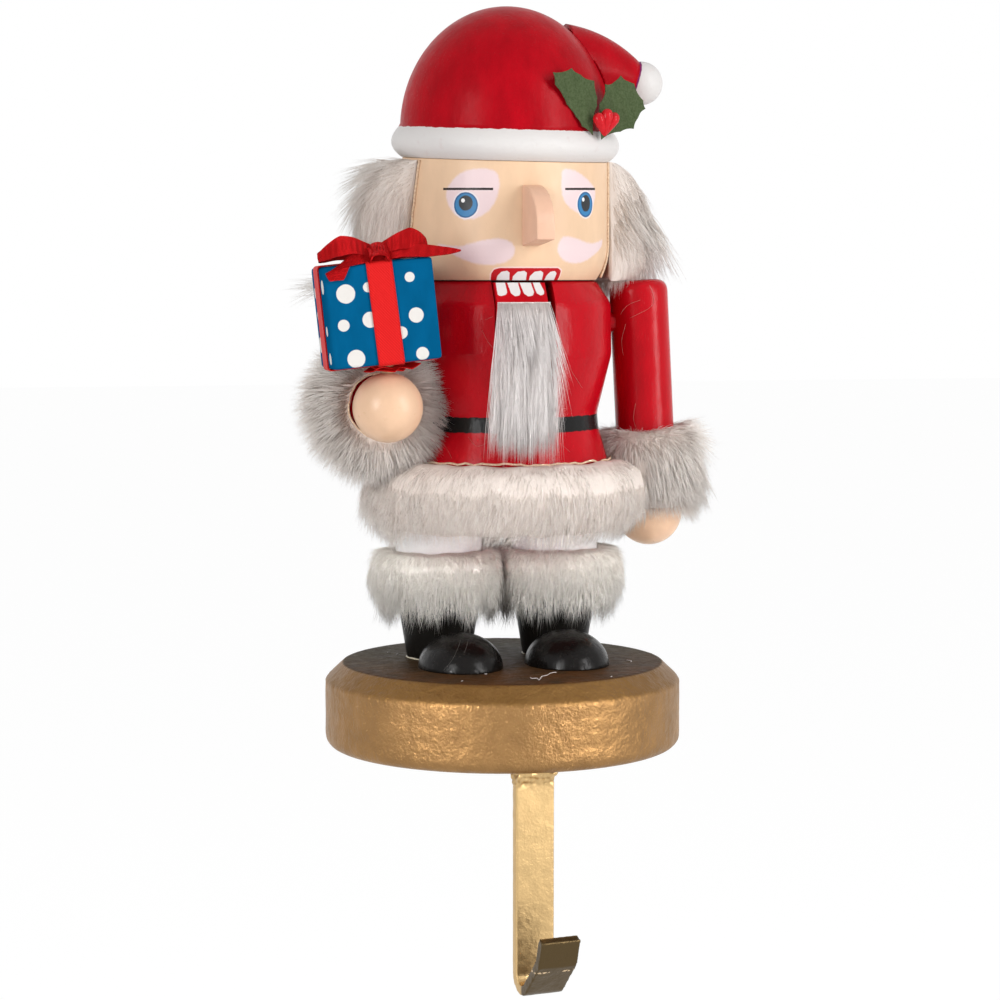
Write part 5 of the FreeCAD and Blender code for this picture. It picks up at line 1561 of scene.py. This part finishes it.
@dataclass
class Cap:
    """The turned cap, its tail with the ball, and the holly."""

    frame: Matrix = field(default_factory=lambda: place(1.3, 3, 147.9, 0, 0.8, 3.3))
    brim: float = 7.6
    radius: float = 26.5
    height: float = 30.3
    holly: Matrix = field(default_factory=lambda: place(20.34, -19.53, 153.0, 18))

    def build(self) -> None:
        """Makes and dresses the cap."""
        crown = [(self.radius * math.cos(angle), self.brim + self.height * math.sin(angle))
                 for angle in (math.radians(step * 1.5) for step in range(1, 60))]
        profile = [(0, 0), (26.0, 0), *arc((26.0, 0), (26.9, 7.5), 2.2, 12), (26.75, 7.75), *crown,
                   (0, self.brim + self.height)]
        points, faces = lathe(rounded(profile, 0.25, 2.0), 200)
        hat = make("turned_cap", moved(points, self.frame), faces, 50)
        table = np.array(self.frame)
        down = tuple(float(-part) for part in table[:3, 2])
        level = tuple(float(part) for part in (table[:3, 3] + table[:3, 2] * 7.55))
        FINISHES["cap_paint"] = SplitPaint("cap_paint", SHADED_CAP_RED, 0.34, shine=0.05, second=WHITE, point=level,
                                           normal=down)
        fit(dress(hat, "cap_paint"), "cap_paint", Body.HOLDER, "hat")
        tail = cad_copy("hat_tail", "cap_tail", 40)
        slope = math.radians(16)
        FINISHES["tail_paint"] = SplitPaint("tail_paint", SHADED_CAP_RED, 0.34, shine=0.05, second=WHITE,
                                            point=(34.8, 3, 168.0),
                                            normal=(math.cos(slope), 0, -math.sin(slope)),
                                            line=(0.2, 0.02, 0.12))
        fit(dress(tail, "tail_paint"), "cap_paint", Body.HOLDER, "hat_tail")
        left = [(-2.5, 0.0), (-1.5, 7.2), (-1.45, 9.0), (-2.25, 13.1), (-6.1, 14.4), (-8.56, 15.95),
                (-14.35, 14.7), (-13.6, 11.85),
                (-11.1, 9.0), (-10.2, 7.25), (-7.3, 4.2), (-5.6, 2.0)]
        right = [(0.0, -1.0), (5.5, 1.0), (9.45, 1.85), (10.5, 4.4), (12.5, 6.8), (12.0, 8.8), (9.8, 12.9),
                 (5.5, 14.7),
                 (2.6, 12.5), (0.95, 12.4), (-0.8, 7.45), (-1.2, 3.0)]
        self.leaf("left", left, 0.0)
        self.leaf("right", right, 1.0)
        self.berries()

    def leaf(self, side: str, outline: list[Point], shift: float) -> None:
        """Makes one stiffened cloth leaf with its ribs and curled edges."""
        edge: list[Vector] = []
        for a, b in zip(outline, outline[1:] + outline[:1]):
            run = math.dist(a, b)
            parts = max(1, math.ceil(run / 0.5))
            sag = min(0.45, run * 0.08)
            for part in range(parts):
                share = part / parts
                inward = Vector((a[1] - b[1], b[0] - a[0])).normalized() * (-sag * 4 * share * (1 - share))
                edge.append(Vector((a[0] + (b[0] - a[0]) * share, a[1] + (b[1] - a[1]) * share)) - inward)
        border = [(spot.x, spot.y) for spot in edge]
        grid = np.array([(x, z) for x in np.arange(-15, 14, 0.5) for z in np.arange(-2, 17, 0.5)])
        inner = grid[far_from(grid, border) < -0.3]
        spots = edge + [Vector(point) for point in inner]
        ring = [(number, (number + 1) % len(edge)) for number in range(len(edge))]
        result = delaunay_2d_cdt(spots, ring, [list(range(len(edge)))], 1, 1e-5)
        flat, triangles = np.array(result[0]), result[2]
        cup = 0.010 * (flat[:, 0] + (7 if side == "left" else -6)) ** 2
        ribs = 0.22 * np.cos(2 * math.pi * (flat[:, 0] + 0.25 * flat[:, 1]) / 2.9) * np.clip((flat[:,
                                                                                                   1] - 1) / 5, 0, 1)
        curl = dark_at(np.column_stack((flat, np.full(len(flat), shift))), 4.0, 81) * 0.5
        y = -(cup + ribs + curl) * np.clip(flat[:, 1] / 6, 0.1, 1)
        count = len(flat)
        front = np.column_stack((flat[:, 0], y - 0.15, flat[:, 1]))
        back = np.column_stack((flat[:, 0], y + 0.15, flat[:, 1]))
        faces = [tuple(triangle) for triangle in triangles] + [tuple(count + spot
                                                                     for spot in reversed(triangle))
                                                                     for triangle in triangles]
        open_edges: dict[tuple[int, int], int] = {}
        for triangle in triangles:
            for a, b in zip(triangle, triangle[1:] + triangle[:1]):
                open_edges[(a, b)] = 1
        faces += [(b, a, count + a, count + b) for a, b in open_edges if (b, a) not in open_edges]
        piece = make(f"holly_{side}", moved(np.vstack((front, back)), self.holly), faces, 60)
        fit(dress(piece, "leaf_cloth"), "leaf_cloth", Body.HOLDER, f"holly_leaf_{side}")

    def berries(self) -> None:
        """Makes the cluster of three pointed berries."""
        points: list[np.ndarray] = []
        faces: list[tuple[int, ...]] = []
        profile = [(0.0, -0.2), (0.35, 0.2), (0.8, 1.8), (1.25, 3.4), (1.5, 4.6), (1.42, 5.5), (1.0, 6.2),
                   (0.5, 6.5), (0.0, 6.6)]
        body, sides = lathe(profile, 28)
        for number, (lean, reach) in enumerate(((-24, 0.9), (4, 1.0), (30, 0.98))):
            stem = self.holly @ place(-0.2, -1.7 - 0.3 * (number == 1), -0.2, 0, lean, 4)
            offset = sum(len(block) for block in points)
            points.append(moved(body * [1, 1, reach], stem))
            faces += [tuple(offset + corner for corner in face) for face in sides]
        piece = make("holly_berry_cluster", np.vstack(points), faces, 60)
        fit(dress(piece, "berry"), "berry", Body.HOLDER, "holly_berries")


@dataclass
class Arms:
    """Both sleeves and hands, and the fur cuffs."""

    left: Matrix = field(default_factory=lambda: place(36.25, 3, 117.7, 0, 177))
    right: Matrix = field(default_factory=lambda: place(-33.65, 3, 117.7, 0, 180))
    elbow: tuple[float, float, float] = (-33.65, 3.0, 87.1)
    left_pile: Pile = field(default_factory=lambda: Pile(7.4, 16500, 0.22, 3.8, 0.42, 0.20, 91))
    right_pile: Pile = field(default_factory=lambda: Pile(7.4, 17400, 0.24, 3.8, 0.42, 0.20, 93))

    def build(self) -> None:
        """Makes and dresses both arms."""
        top = [(0, 0), (4.25, 0), *arc((4.25, 0), (7.45, 3.2), 1.1, 6), (7.45, 3.2)]
        band = [(7.45, 40.2), (6.9, 40.3), (6.9, 42.0), (0, 42.0)]
        sleeve = self.sleeve_mesh("left_sleeve", top + band, self.left)
        fit(dress(sleeve, "sleeve_paint"), "coat_paint", Body.HOLDER, "left_arm")
        loose = (((30.6, 109.0), (31.2, 110.3), (32.4, 111.6), (34.8, 112.6)),
                 ((32.5, 108.1), (34.8, 109.3), (37.4, 110.8), (38.4, 112.6), (37.8, 115.1), (37.2, 116.4)),
                 ((31.6, 106.5), (30.9, 102.4), (31.3, 98.6)), ((34.0, 86.4), (33.6, 82.5), (34.6, 79.0)))
        fit(dress(threads("arm_hairs", laid(sleeve, loose, False, 0.08), 0.032, 3), "stray_fur"), "fur",
            Body.HOLDER)
        upper = self.sleeve_mesh("right_upper_sleeve", top + [(7.45, 38), (0, 38)], self.right)
        self.mitre(upper, 1)
        fit(dress(upper, "sleeve_paint"), "coat_paint", Body.HOLDER, "right_upper_arm")
        forward = place(*self.elbow, 0, 0, 90)
        lower = self.sleeve_mesh("right_lower_sleeve", [(0, -7.45), (7.45, -7.45), (7.45, 15.4), (6.9, 15.5),
                                                        (6.9, 17.2), (0, 17.2)], forward)
        self.mitre(lower, -1)
        fit(dress(lower, "sleeve_paint"), "coat_paint", Body.HOLDER, "right_forearm")
        for side in ("left", "right"):
            hand = cad_copy(f"{side}_hand", f"{side}_ball_hand", 40)
            fit(dress(hand, "hand_paint"), "hand_paint", Body.HOLDER, f"{side}_hand")
        self.left_cuff()
        self.right_cuff(forward)

    def sleeve_mesh(self, name: str, profile: list[Point], matrix: Matrix) -> bpy.types.Object:
        """A turned sleeve in its frame."""
        points, faces = lathe(rounded(profile, 0.35, 2.0), 96)
        return make(name, moved(points, matrix), faces, 35)

    def mitre(self, piece: bpy.types.Object, side: int) -> None:
        """Saws a sleeve off at the elbow and closes the cut."""
        shape = bmesh.new()
        shape.from_mesh(piece.data)
        every = [*shape.verts, *shape.edges, *shape.faces]
        centre = Vector(self.elbow) * MM
        normal = Vector((0, -1, -1)).normalized() * side
        found = bmesh.ops.bisect_plane(shape, geom=every, plane_co=centre - normal * 0.03 * MM,
                                       plane_no=normal, clear_outer=True)
        edges = [item for item in found["geom_cut"] if isinstance(item, bmesh.types.BMEdge)]
        bmesh.ops.contextual_create(shape, geom=edges)
        bmesh.ops.recalc_face_normals(shape, faces=shape.faces)
        shape.to_mesh(piece.data)
        shape.free()
        soften(piece, 35)

    def left_cuff(self) -> None:
        """Makes the fur that hangs over the left hand."""
        profile = [(8.6, 57.6), (10.4, 58.2), (12.2, 53.5), (12.4, 47), (11.4, 40.5), (9.6, 38.3),
                   (7.8, 38.3), (7.8, 52)]
        flip = [(radius, -down) for radius, down in profile]
        down = self.left @ Matrix.Rotation(math.pi, 4, "X")
        piece = fur_ring("left_cuff", flip, 80, down, 0.5, 95)
        spots = corners_of(piece)
        axis = np.array(self.left)[:3, 2]
        out = spots - np.array(self.left)[:3, 3]
        out -= (out @ axis)[:, None] * axis
        out /= np.maximum(np.linalg.norm(out, axis=1, keepdims=True), 1e-6)
        flow = out * 0.22 + axis + np.array([0.12, 0, 0])
        share = (spots - np.array(self.left)[:3, 3]) @ axis
        upper = np.clip((43 - share) / 4, 0, 1)[:, None]
        flow += (out * 0.9 - axis * 1.15) * upper
        flow += np.column_stack([dark_at(spots, 7.0, seed) * 0.2 for seed in (96, 101, 102)])
        outer = np.clip(out[:, 0], 0, 1)
        comb(piece, flow, np.where(share > 52, 0.42, 0.85) * (1 - 0.35 * upper[:, 0]) + 0.25 * outer,
             bare(piece, out))
        fit(self.left_pile.grow(piece), "fur", Body.HOLDER, "left_cuff_fur")

    def right_cuff(self, forward: Matrix) -> None:
        """Makes the fur round the right hand, which stands out all round."""
        profile = [(7.8, 8.2), (11.6, 6.6), (14.3, 7.9), (15.0, 11.0), (13.8, 14.6), (11.0, 16.6),
                   (7.7, 16.9)]
        piece = fur_ring("right_cuff", profile, 110, forward, 0.7, 97)
        spots = corners_of(piece)
        centre = np.array(self.elbow)
        out = spots - centre
        front = -(spots[:, 1] - self.elbow[1])
        out[:, 1] = 0
        out /= np.maximum(np.linalg.norm(out, axis=1, keepdims=True), 1e-6)
        flow = out + np.array([0, -0.12, -0.5]) + np.column_stack([dark_at(spots, 6.0, seed) * 0.2
                                                                   for seed in (98, 99, 100)])
        flow[:, 0] += 0.15 * np.sign(out[:, 0])
        comb(piece, flow, np.where(front > 12, 0.8, 0.7), bare(piece, out, -0.5))
        fit(self.right_pile.grow(piece), "fur", Body.HOLDER, "right_cuff_fur")
        seam = threads("cuff_cloth_edge", [hoop_run(8.0, 16.9, forward, 0.6, 103)], 0.26, 5)
        fit(dress(seam, "backing"), "fur", Body.HOLDER)


@dataclass
class Gift:
    """The wrapped box, its ribbon and bow."""

    frame: Matrix = field(default_factory=lambda: place(-36.5, -23.6, 109.95, 0, -6))
    size: tuple[float, float, float] = (26.5, 18.0, 24.3)
    band: float = 6.3
    dots: tuple[tuple[float, float, float], ...] = (
        (-8.37, 5.48, 2.25), (-9.66, -1.88, 1.40), (-7.51, -10.0, 2.15), (-2.92, 6.5, 1.2),
        (-3.16, -1.17, 1.9),
        (7.3, 7.86, 1.2), (7.92, -1.26, 1.8), (3.92, -5.04, 1.5), (8.48, -10.5, 1.55))

    def build(self) -> None:
        """Makes and dresses the gift."""
        half = np.array(self.size) / 2
        box = slab("gift_body", -half, half)
        bevel = box.modifiers.new("edges", "BEVEL")
        bevel.width = 0.8 * MM
        bevel.segments = 3
        divide = box.modifiers.new("fine", "REMESH")
        divide.mode = "VOXEL"
        divide.voxel_size = 0.42 * MM
        settle(box)
        spots = corners_of(box)
        marks = [self.disc(across, -half[1], up, size) for across, up, size in self.dots]
        marks += [self.disc(-across, half[1], up * 0.9, size) for across, up, size in self.dots]
        marks += [(sign * half[0], along, up, size) for sign in (-1, 1) for along, up, size in
                  ((-6.0, 7.5, 1.7), (5.8, 6.0, 1.3), (-5.6, -3.0, 1.2), (6.2, -6.5, 1.9), (-6.3, -9.5, 1.4),
                   (5.4, 0.6, 1.0))]
        marks += [(across, along, sign * half[2], size) for sign in (-1, 1) for across, along, size in
                  ((-9.0, 6.0, 1.6), (8.5, -5.6, 1.8), (9.5, 5.2, 1.2), (-8.0, -5.2, 1.3), (5.4, 5.8, 1.0))]
        tag(box, "dot", np.min([np.linalg.norm(spots - np.array(mark[:3]), axis=1) - mark[3]
                                for mark in marks], axis=0))
        reshape(box, moved(spots, self.frame))
        soften(box, 180)
        fit(dress(box, "gift_paint"), "gift_paint", Body.HOLDER, "gift_box")
        self.ribbon()
        self.bow()

    def disc(self, across: float, along: float, up: float, size: float) -> tuple[float, float, float, float]:
        """A painted dot: its centre and radius."""
        return across, along, up, size

    def strip(self, path: np.ndarray, side: np.ndarray, width: np.ndarray, thick: float, closed: bool = False,
              crease: float = 0.0) -> tuple[np.ndarray, list[tuple[int, ...]], np.ndarray, np.ndarray]:
        """A length of ribbon.

        Args:
            path: points along its middle.
            side: direction across it at each point.
            width: its full width at each point.
            thick: its thickness.
            closed: whether its end meets its start.
            crease: how far its middle line is pinched.

        Returns:
            Points, faces, and each point's place across and along.
        """
        count, lanes = len(path), 9
        ahead = np.roll(path, -1, axis=0) - np.roll(path, 1, axis=0)
        if not closed:
            ahead[0], ahead[-1] = path[1] - path[0], path[-1] - path[-2]
        ahead /= np.linalg.norm(ahead, axis=1, keepdims=True)
        side = side / np.linalg.norm(side, axis=1, keepdims=True)
        up = np.cross(ahead, side)
        up /= np.maximum(np.linalg.norm(up, axis=1, keepdims=True), 1e-9)
        runs = np.concatenate(([0], np.cumsum(np.linalg.norm(np.diff(path, axis=0), axis=1))))
        points, across_at, along_at = [], [], []
        for layer in (1, -1):
            for spot in range(count):
                for lane in range(lanes):
                    share = lane / (lanes - 1) * 2 - 1
                    lift = crease * (1 - abs(share)) * math.sin(spot * 1.7)
                    offset = side[spot] * share * width[spot] / 2 + up[spot] * (layer * thick / 2 + lift)
                    points.append(path[spot] + offset)
                    across_at.append(share * width[spot] / 2)
                    along_at.append(runs[spot])
        total = count * lanes
        faces: list[tuple[int, ...]] = []
        last = count if closed else count - 1
        for spot in range(last):
            after = (spot + 1) % count
            for lane in range(lanes - 1):
                a, b = spot * lanes + lane, spot * lanes + lane + 1
                c, d = after * lanes + lane + 1, after * lanes + lane
                faces.append((a, d, c, b))
                faces.append((total + a, total + b, total + c, total + d))
            for lane, flip in ((0, False), (lanes - 1, True)):
                a, d = spot * lanes + lane, after * lanes + lane
                wall = (a, total + a, total + d, d)
                faces.append(wall[::-1] if flip else wall)
        if not closed:
            for spot, flip in ((0, True), (count - 1, False)):
                for lane in range(lanes - 1):
                    a, b = spot * lanes + lane, spot * lanes + lane + 1
                    wall = (a, total + a, total + b, b)
                    faces.append(wall[::-1] if flip else wall)
        return np.array(points), faces, np.array(across_at), np.array(along_at)

    def sewn(self, name: str, strips: list[tuple], node: str, finish: str) -> bpy.types.Object:
        """Joins lengths of ribbon to one piece with their weave's map."""
        points, faces, across, along = [], [], [], []
        for part in strips:
            offset = sum(len(block) for block in points)
            points.append(part[0])
            faces += [tuple(offset + corner for corner in face) for face in part[1]]
            across.append(part[2])
            along.append(part[3])
        mesh = bpy.data.meshes.new(name)
        mesh.from_pydata((moved(np.vstack(points), self.frame) * MM).tolist(), [], faces)
        piece = bpy.data.objects.new(name, mesh)
        bpy.context.scene.collection.objects.link(piece)
        tag(piece, "across", np.concatenate(across))
        tag(piece, "length", np.concatenate(along))
        shape = bmesh.new()
        shape.from_mesh(mesh)
        bmesh.ops.recalc_face_normals(shape, faces=shape.faces)
        shape.to_mesh(mesh)
        shape.free()
        soften(piece, 50)
        return fit(dress(piece, finish), "satin_ribbon", Body.HOLDER, node)

    def hoop(self, half_across: float, half_up: float, step: float) -> np.ndarray:
        """Points round a rounded rectangle just outside the box."""
        corners = [(0, half_up), (half_across, half_up), (half_across, -half_up), (-half_across, -half_up),
                   (-half_across, half_up), (0, half_up)]
        return np.array(rounded(corners, 0.9, step))[:-1]

    def ribbon(self) -> None:
        """Makes the two bands round the box and the fold of ribbon under it."""
        half = np.array(self.size) / 2 + 0.22
        loop = self.hoop(half[1], half[2], 1.0)
        drift = np.interp(loop[:, 1], [-half[2], half[2]], [0.85, 0.25])
        front = np.column_stack((drift, loop[:, 0], loop[:, 1]))
        wide = np.full(len(loop), self.band)
        first = self.strip(front, np.tile([1.0, 0, 0], (len(loop), 1)), wide, 0.3, True)
        loop = self.hoop(half[0] + 0.02, half[2] + 0.06, 1.0)
        around = np.column_stack((loop[:, 0], np.zeros(len(loop)), loop[:, 1]))
        second = self.strip(around, np.tile([0, 1.0, 0], (len(loop), 1)), np.full(len(loop), self.band), 0.3,
                            True)
        strips = [first, second]
        for lift, turn, reach in ((0.55, 12, 5.2), (1.05, -34, 6.4), (1.5, 55, 4.6)):
            run = np.linspace(-reach, reach, 16)
            heading = math.radians(turn)
            wave = 0.25 * np.sin(run * 1.1 + turn)
            path = np.column_stack((2.6 + run * math.cos(heading), 0.6 + run * math.sin(heading),
                                    -half[2] - lift + wave))
            side = np.tile([-math.sin(heading), math.cos(heading), 0.15], (16, 1))
            strips.append(self.strip(path, side, np.full(16, 5.4), 0.25))
        self.sewn("gift_bands", strips, "gift_ribbon", "satin")

    def bow(self) -> None:
        """Makes the bow: two loops, the knot and two tails."""
        strips = []
        loops = (
            ((0.2, -6.0, 14.6), (-2.5, -7.2, 15.6), (-5.4, -8.2, 16.6), (-8.6, -8.4, 16.7),
             (-11.4, -7.6, 15.6), (-13.5, -6.2, 14.5),
             (-12.2, -4.6, 14.7), (-8.5, -3.6, 15.4), (-4.5, -3.8, 15.0), (0.0, -4.8, 14.2)),
            ((0.8, -6.0, 14.6), (3.2, -7.2, 15.7), (6.0, -8.0, 16.6), (8.8, -8.0, 16.9), (11.2, -7.2, 16.3),
             (12.9, -5.8, 15.3),
             (11.8, -4.4, 15.2), (8.2, -3.6, 15.4), (4.4, -3.8, 15.0), (0.8, -4.8, 14.2)))
        for number, knots in enumerate(loops):
            path = smooth_run(*knots)
            share = np.linspace(0, 1, len(path))
            width = np.interp(share, [0, 0.15, 0.32, 0.45, 0.55, 0.62, 0.8, 1],
                              [2.6, 3.8, 5.2, 3.6, 1.7, 2.6, 4.2, 2.6])
            lean = 0.25 + 0.2 * np.sin(share * 7 + number)
            side = np.column_stack((0.12 * np.sin(share * 6), lean, np.full(len(path), 0.95)))
            strips.append(self.strip(path, side, width, 0.25, crease=0.16))
        knot = smooth_run((-1.7, -6.4, 13.2), (-1.6, -8.3, 13.8), (-0.9, -8.9, 15.0), (0.6, -9.0, 15.3),
                          (2.2, -8.8, 14.8),
                          (2.9, -8.2, 13.6), (2.9, -6.4, 13.0))
        strips.append(self.strip(knot, np.tile([0.1, 0.75, 0.65], (len(knot), 1)), np.full(len(knot), 4.4),
                                 0.35, crease=0.25))
        pad = smooth_run((-2.6, -6.6, 13.6), (-1.2, -7.7, 14.0), (1.4, -7.8, 14.0), (3.4, -6.6, 13.6))
        strips.append(self.strip(pad, np.tile([0, 0.35, 0.94], (len(pad), 1)), np.full(len(pad), 3.4), 0.5))
        tail = smooth_run((1.0, -7.4, 13.8), (6.0, -8.3, 14.2), (12.0, -9.0, 13.6), (16.5, -9.3, 13.1),
                          (20.2, -9.6, 12.8))
        taper = np.interp(np.linspace(0, 1, len(tail)), [0, 0.5, 0.8, 1], [3.6, 3.2, 1.8, 0.25])
        strips.append(self.strip(tail, np.tile([0.1, 0.4, 0.85], (len(tail), 1)), taper, 0.25, crease=0.12))
        drape = smooth_run((-0.5, -7.4, 14.0), (-5.0, -8.6, 13.7), (-8.4, -9.4, 13.0), (-9.7, -9.9, 11.6),
                           (-10.3, -9.8, 8.8))
        turn = np.linspace(0, 1, len(drape))
        side = np.column_stack((0.15 + 0.85 * turn, 0.45 - 0.4 * turn, 0.85 - 0.85 * turn))
        strips.append(self.strip(drape, side, np.interp(turn, [0, 0.5, 0.75, 1], [3.6, 5.4, 6.8, 3.2]), 0.25,
                                 crease=0.15))
        self.sewn("gift_knot", strips, "gift_bow", "bow")


# Studio


@dataclass
class Studio:
    """The camera, the pale floor and the lights."""

    distance: float = 0.6606
    azimuth: float = -13.0
    height: float = 0.11993
    pitch: float = 5.0
    turned: float = 0.0009
    lens: float = 94.244
    floor: float = -0.17

    def build(self) -> None:
        """Sets up everything round the object."""
        self.camera()
        self.ground()
        self.world()
        self.lamp("left_box", -37, 13, 0.95, (0.28, 0.50), 4.0)
        self.lamp("right_box", 54, 21, 0.95, (0.28, 0.50), 4.1)
        self.lamp("side_box", 62, 0, 1.0, (0.26, 0.24), 2.3)
        self.lamp("low_left_box", -42, 2, 0.8, (0.14, 0.052), 0.0062, 0.034, 7)
        self.lamp("low_right_box", 40, 2, 0.8, (0.14, 0.052), 0.0062, 0.034, 7)

    def camera(self) -> None:
        """The photograph's own viewpoint."""
        data = bpy.data.cameras.new("view")
        data.lens = self.lens
        data.sensor_width = 36
        data.sensor_fit = "HORIZONTAL"
        data.clip_start = 0.05
        eye = bpy.data.objects.new("view", data)
        turn = math.radians(self.azimuth)
        eye.location = (self.distance * math.sin(turn), -self.distance * math.cos(turn), self.height)
        eye.rotation_euler = (math.radians(90 - self.pitch), 0, turn + self.turned)
        bpy.context.scene.collection.objects.link(eye)
        bpy.context.scene.camera = eye

    def ground(self) -> None:
        """A pale floor well below the hook, white to the eye, that still takes a shadow."""
        mesh = bpy.data.meshes.new("floor")
        size = 6.0
        mesh.from_pydata([(-size, -size, self.floor), (size, -size, self.floor), (size, size, self.floor),
                          (-size, size, self.floor)], [],
                         [(0, 1, 2, 3)])
        ground = bpy.data.objects.new("floor", mesh)
        bpy.context.scene.collection.objects.link(ground)
        graph = Graph("floor")
        graph.finish(Base_Color=(0.9, 0.9, 0.9), Roughness=0.9, Specular_IOR_Level=0.1)
        glow = graph.add("ShaderNodeEmission")
        glow.inputs["Strength"].default_value = 1.07
        seen = self.seen(graph)
        blend = graph.add("ShaderNodeMixShader")
        graph.feed(blend.inputs[0], graph.math("MULTIPLY", seen, 0.87))
        graph.links.new(graph.shader.outputs[0], blend.inputs[1])
        graph.links.new(glow.outputs[0], blend.inputs[2])
        output = next(node for node in graph.nodes if node.type == "OUTPUT_MATERIAL")
        graph.links.new(blend.outputs[0], output.inputs[0])
        mesh.materials.append(graph.material)

    def seen(self, graph: Graph) -> bpy.types.NodeSocket:
        """One where the eye or a reflection looks, else nothing."""
        path = graph.add("ShaderNodeLightPath")
        either = graph.math("MAXIMUM", path.outputs["Is Camera Ray"], path.outputs["Is Glossy Ray"])
        return graph.math("MAXIMUM", either, path.outputs["Is Transmission Ray"])

    def world(self) -> None:
        """White behind the object, and a soft even light from all sides."""
        world = bpy.data.worlds.new("studio")
        world.use_nodes = True
        bpy.context.scene.world = world
        nodes, links = world.node_tree.nodes, world.node_tree.links
        nodes.clear()
        path = nodes.new("ShaderNodeLightPath")
        seen = nodes.new("ShaderNodeBackground")
        soft = nodes.new("ShaderNodeBackground")
        for light, strength in ((seen, 1.0), (soft, 0.42)):
            light.inputs["Color"].default_value = (1, 1, 1, 1)
            light.inputs["Strength"].default_value = strength
        blend = nodes.new("ShaderNodeMixShader")
        output = nodes.new("ShaderNodeOutputWorld")
        either = nodes.new("ShaderNodeMath")
        either.operation = "MAXIMUM"
        every = nodes.new("ShaderNodeMath")
        every.operation = "MAXIMUM"
        links.new(path.outputs["Is Camera Ray"], either.inputs[0])
        links.new(path.outputs["Is Glossy Ray"], either.inputs[1])
        links.new(either.outputs[0], every.inputs[0])
        links.new(path.outputs["Is Transmission Ray"], every.inputs[1])
        links.new(every.outputs[0], blend.inputs[0])
        links.new(soft.outputs[0], blend.inputs[1])
        links.new(seen.outputs[0], blend.inputs[2])
        links.new(blend.outputs[0], output.inputs[0])

    def lamp(self, name: str, azimuth: float, elevation: float, distance: float, size: Point, power: float,
             aim: float = 0.08, spread: float = 180) -> None:
        """A soft light that points at the figure.

        Args:
            name: the lamp's name.
            azimuth: degrees to the right of the camera, seen from the object.
            elevation: degrees up.
            distance: metres from the figure's middle.
            size: width and height in metres.
            power: watts.
            aim: height that it points at.
            spread: degrees of its beam.
        """
        data = bpy.data.lights.new(name, "AREA")
        data.shape = "RECTANGLE"
        data.size, data.size_y = size
        data.spread = math.radians(spread)
        data.energy = power
        lamp = bpy.data.objects.new(name, data)
        turn, rise = math.radians(self.azimuth + azimuth), math.radians(elevation)
        middle = Vector((0, 0, aim))
        way = Vector((math.sin(turn) * math.cos(rise), -math.cos(turn) * math.cos(rise), math.sin(rise)))
        lamp.location = middle + way * distance
        lamp.rotation_euler = way.to_track_quat("Z", "Y").to_euler()
        bpy.context.scene.collection.objects.link(lamp)


def main() -> None:
    """Builds the studio and every sub-assembly."""
    logging.basicConfig(level=logging.INFO, format="%(message)s")
    bpy.context.scene.view_settings.view_transform = "Standard"
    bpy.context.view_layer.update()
    for assembly in (Studio(), Stand(), Legs(), Coat(), Head(), Jaw(), Cap(), Arms(), Gift()):
        assembly.build()
        log.info("built %s", type(assembly).__name__)


if __name__ == "__main__":
    main()
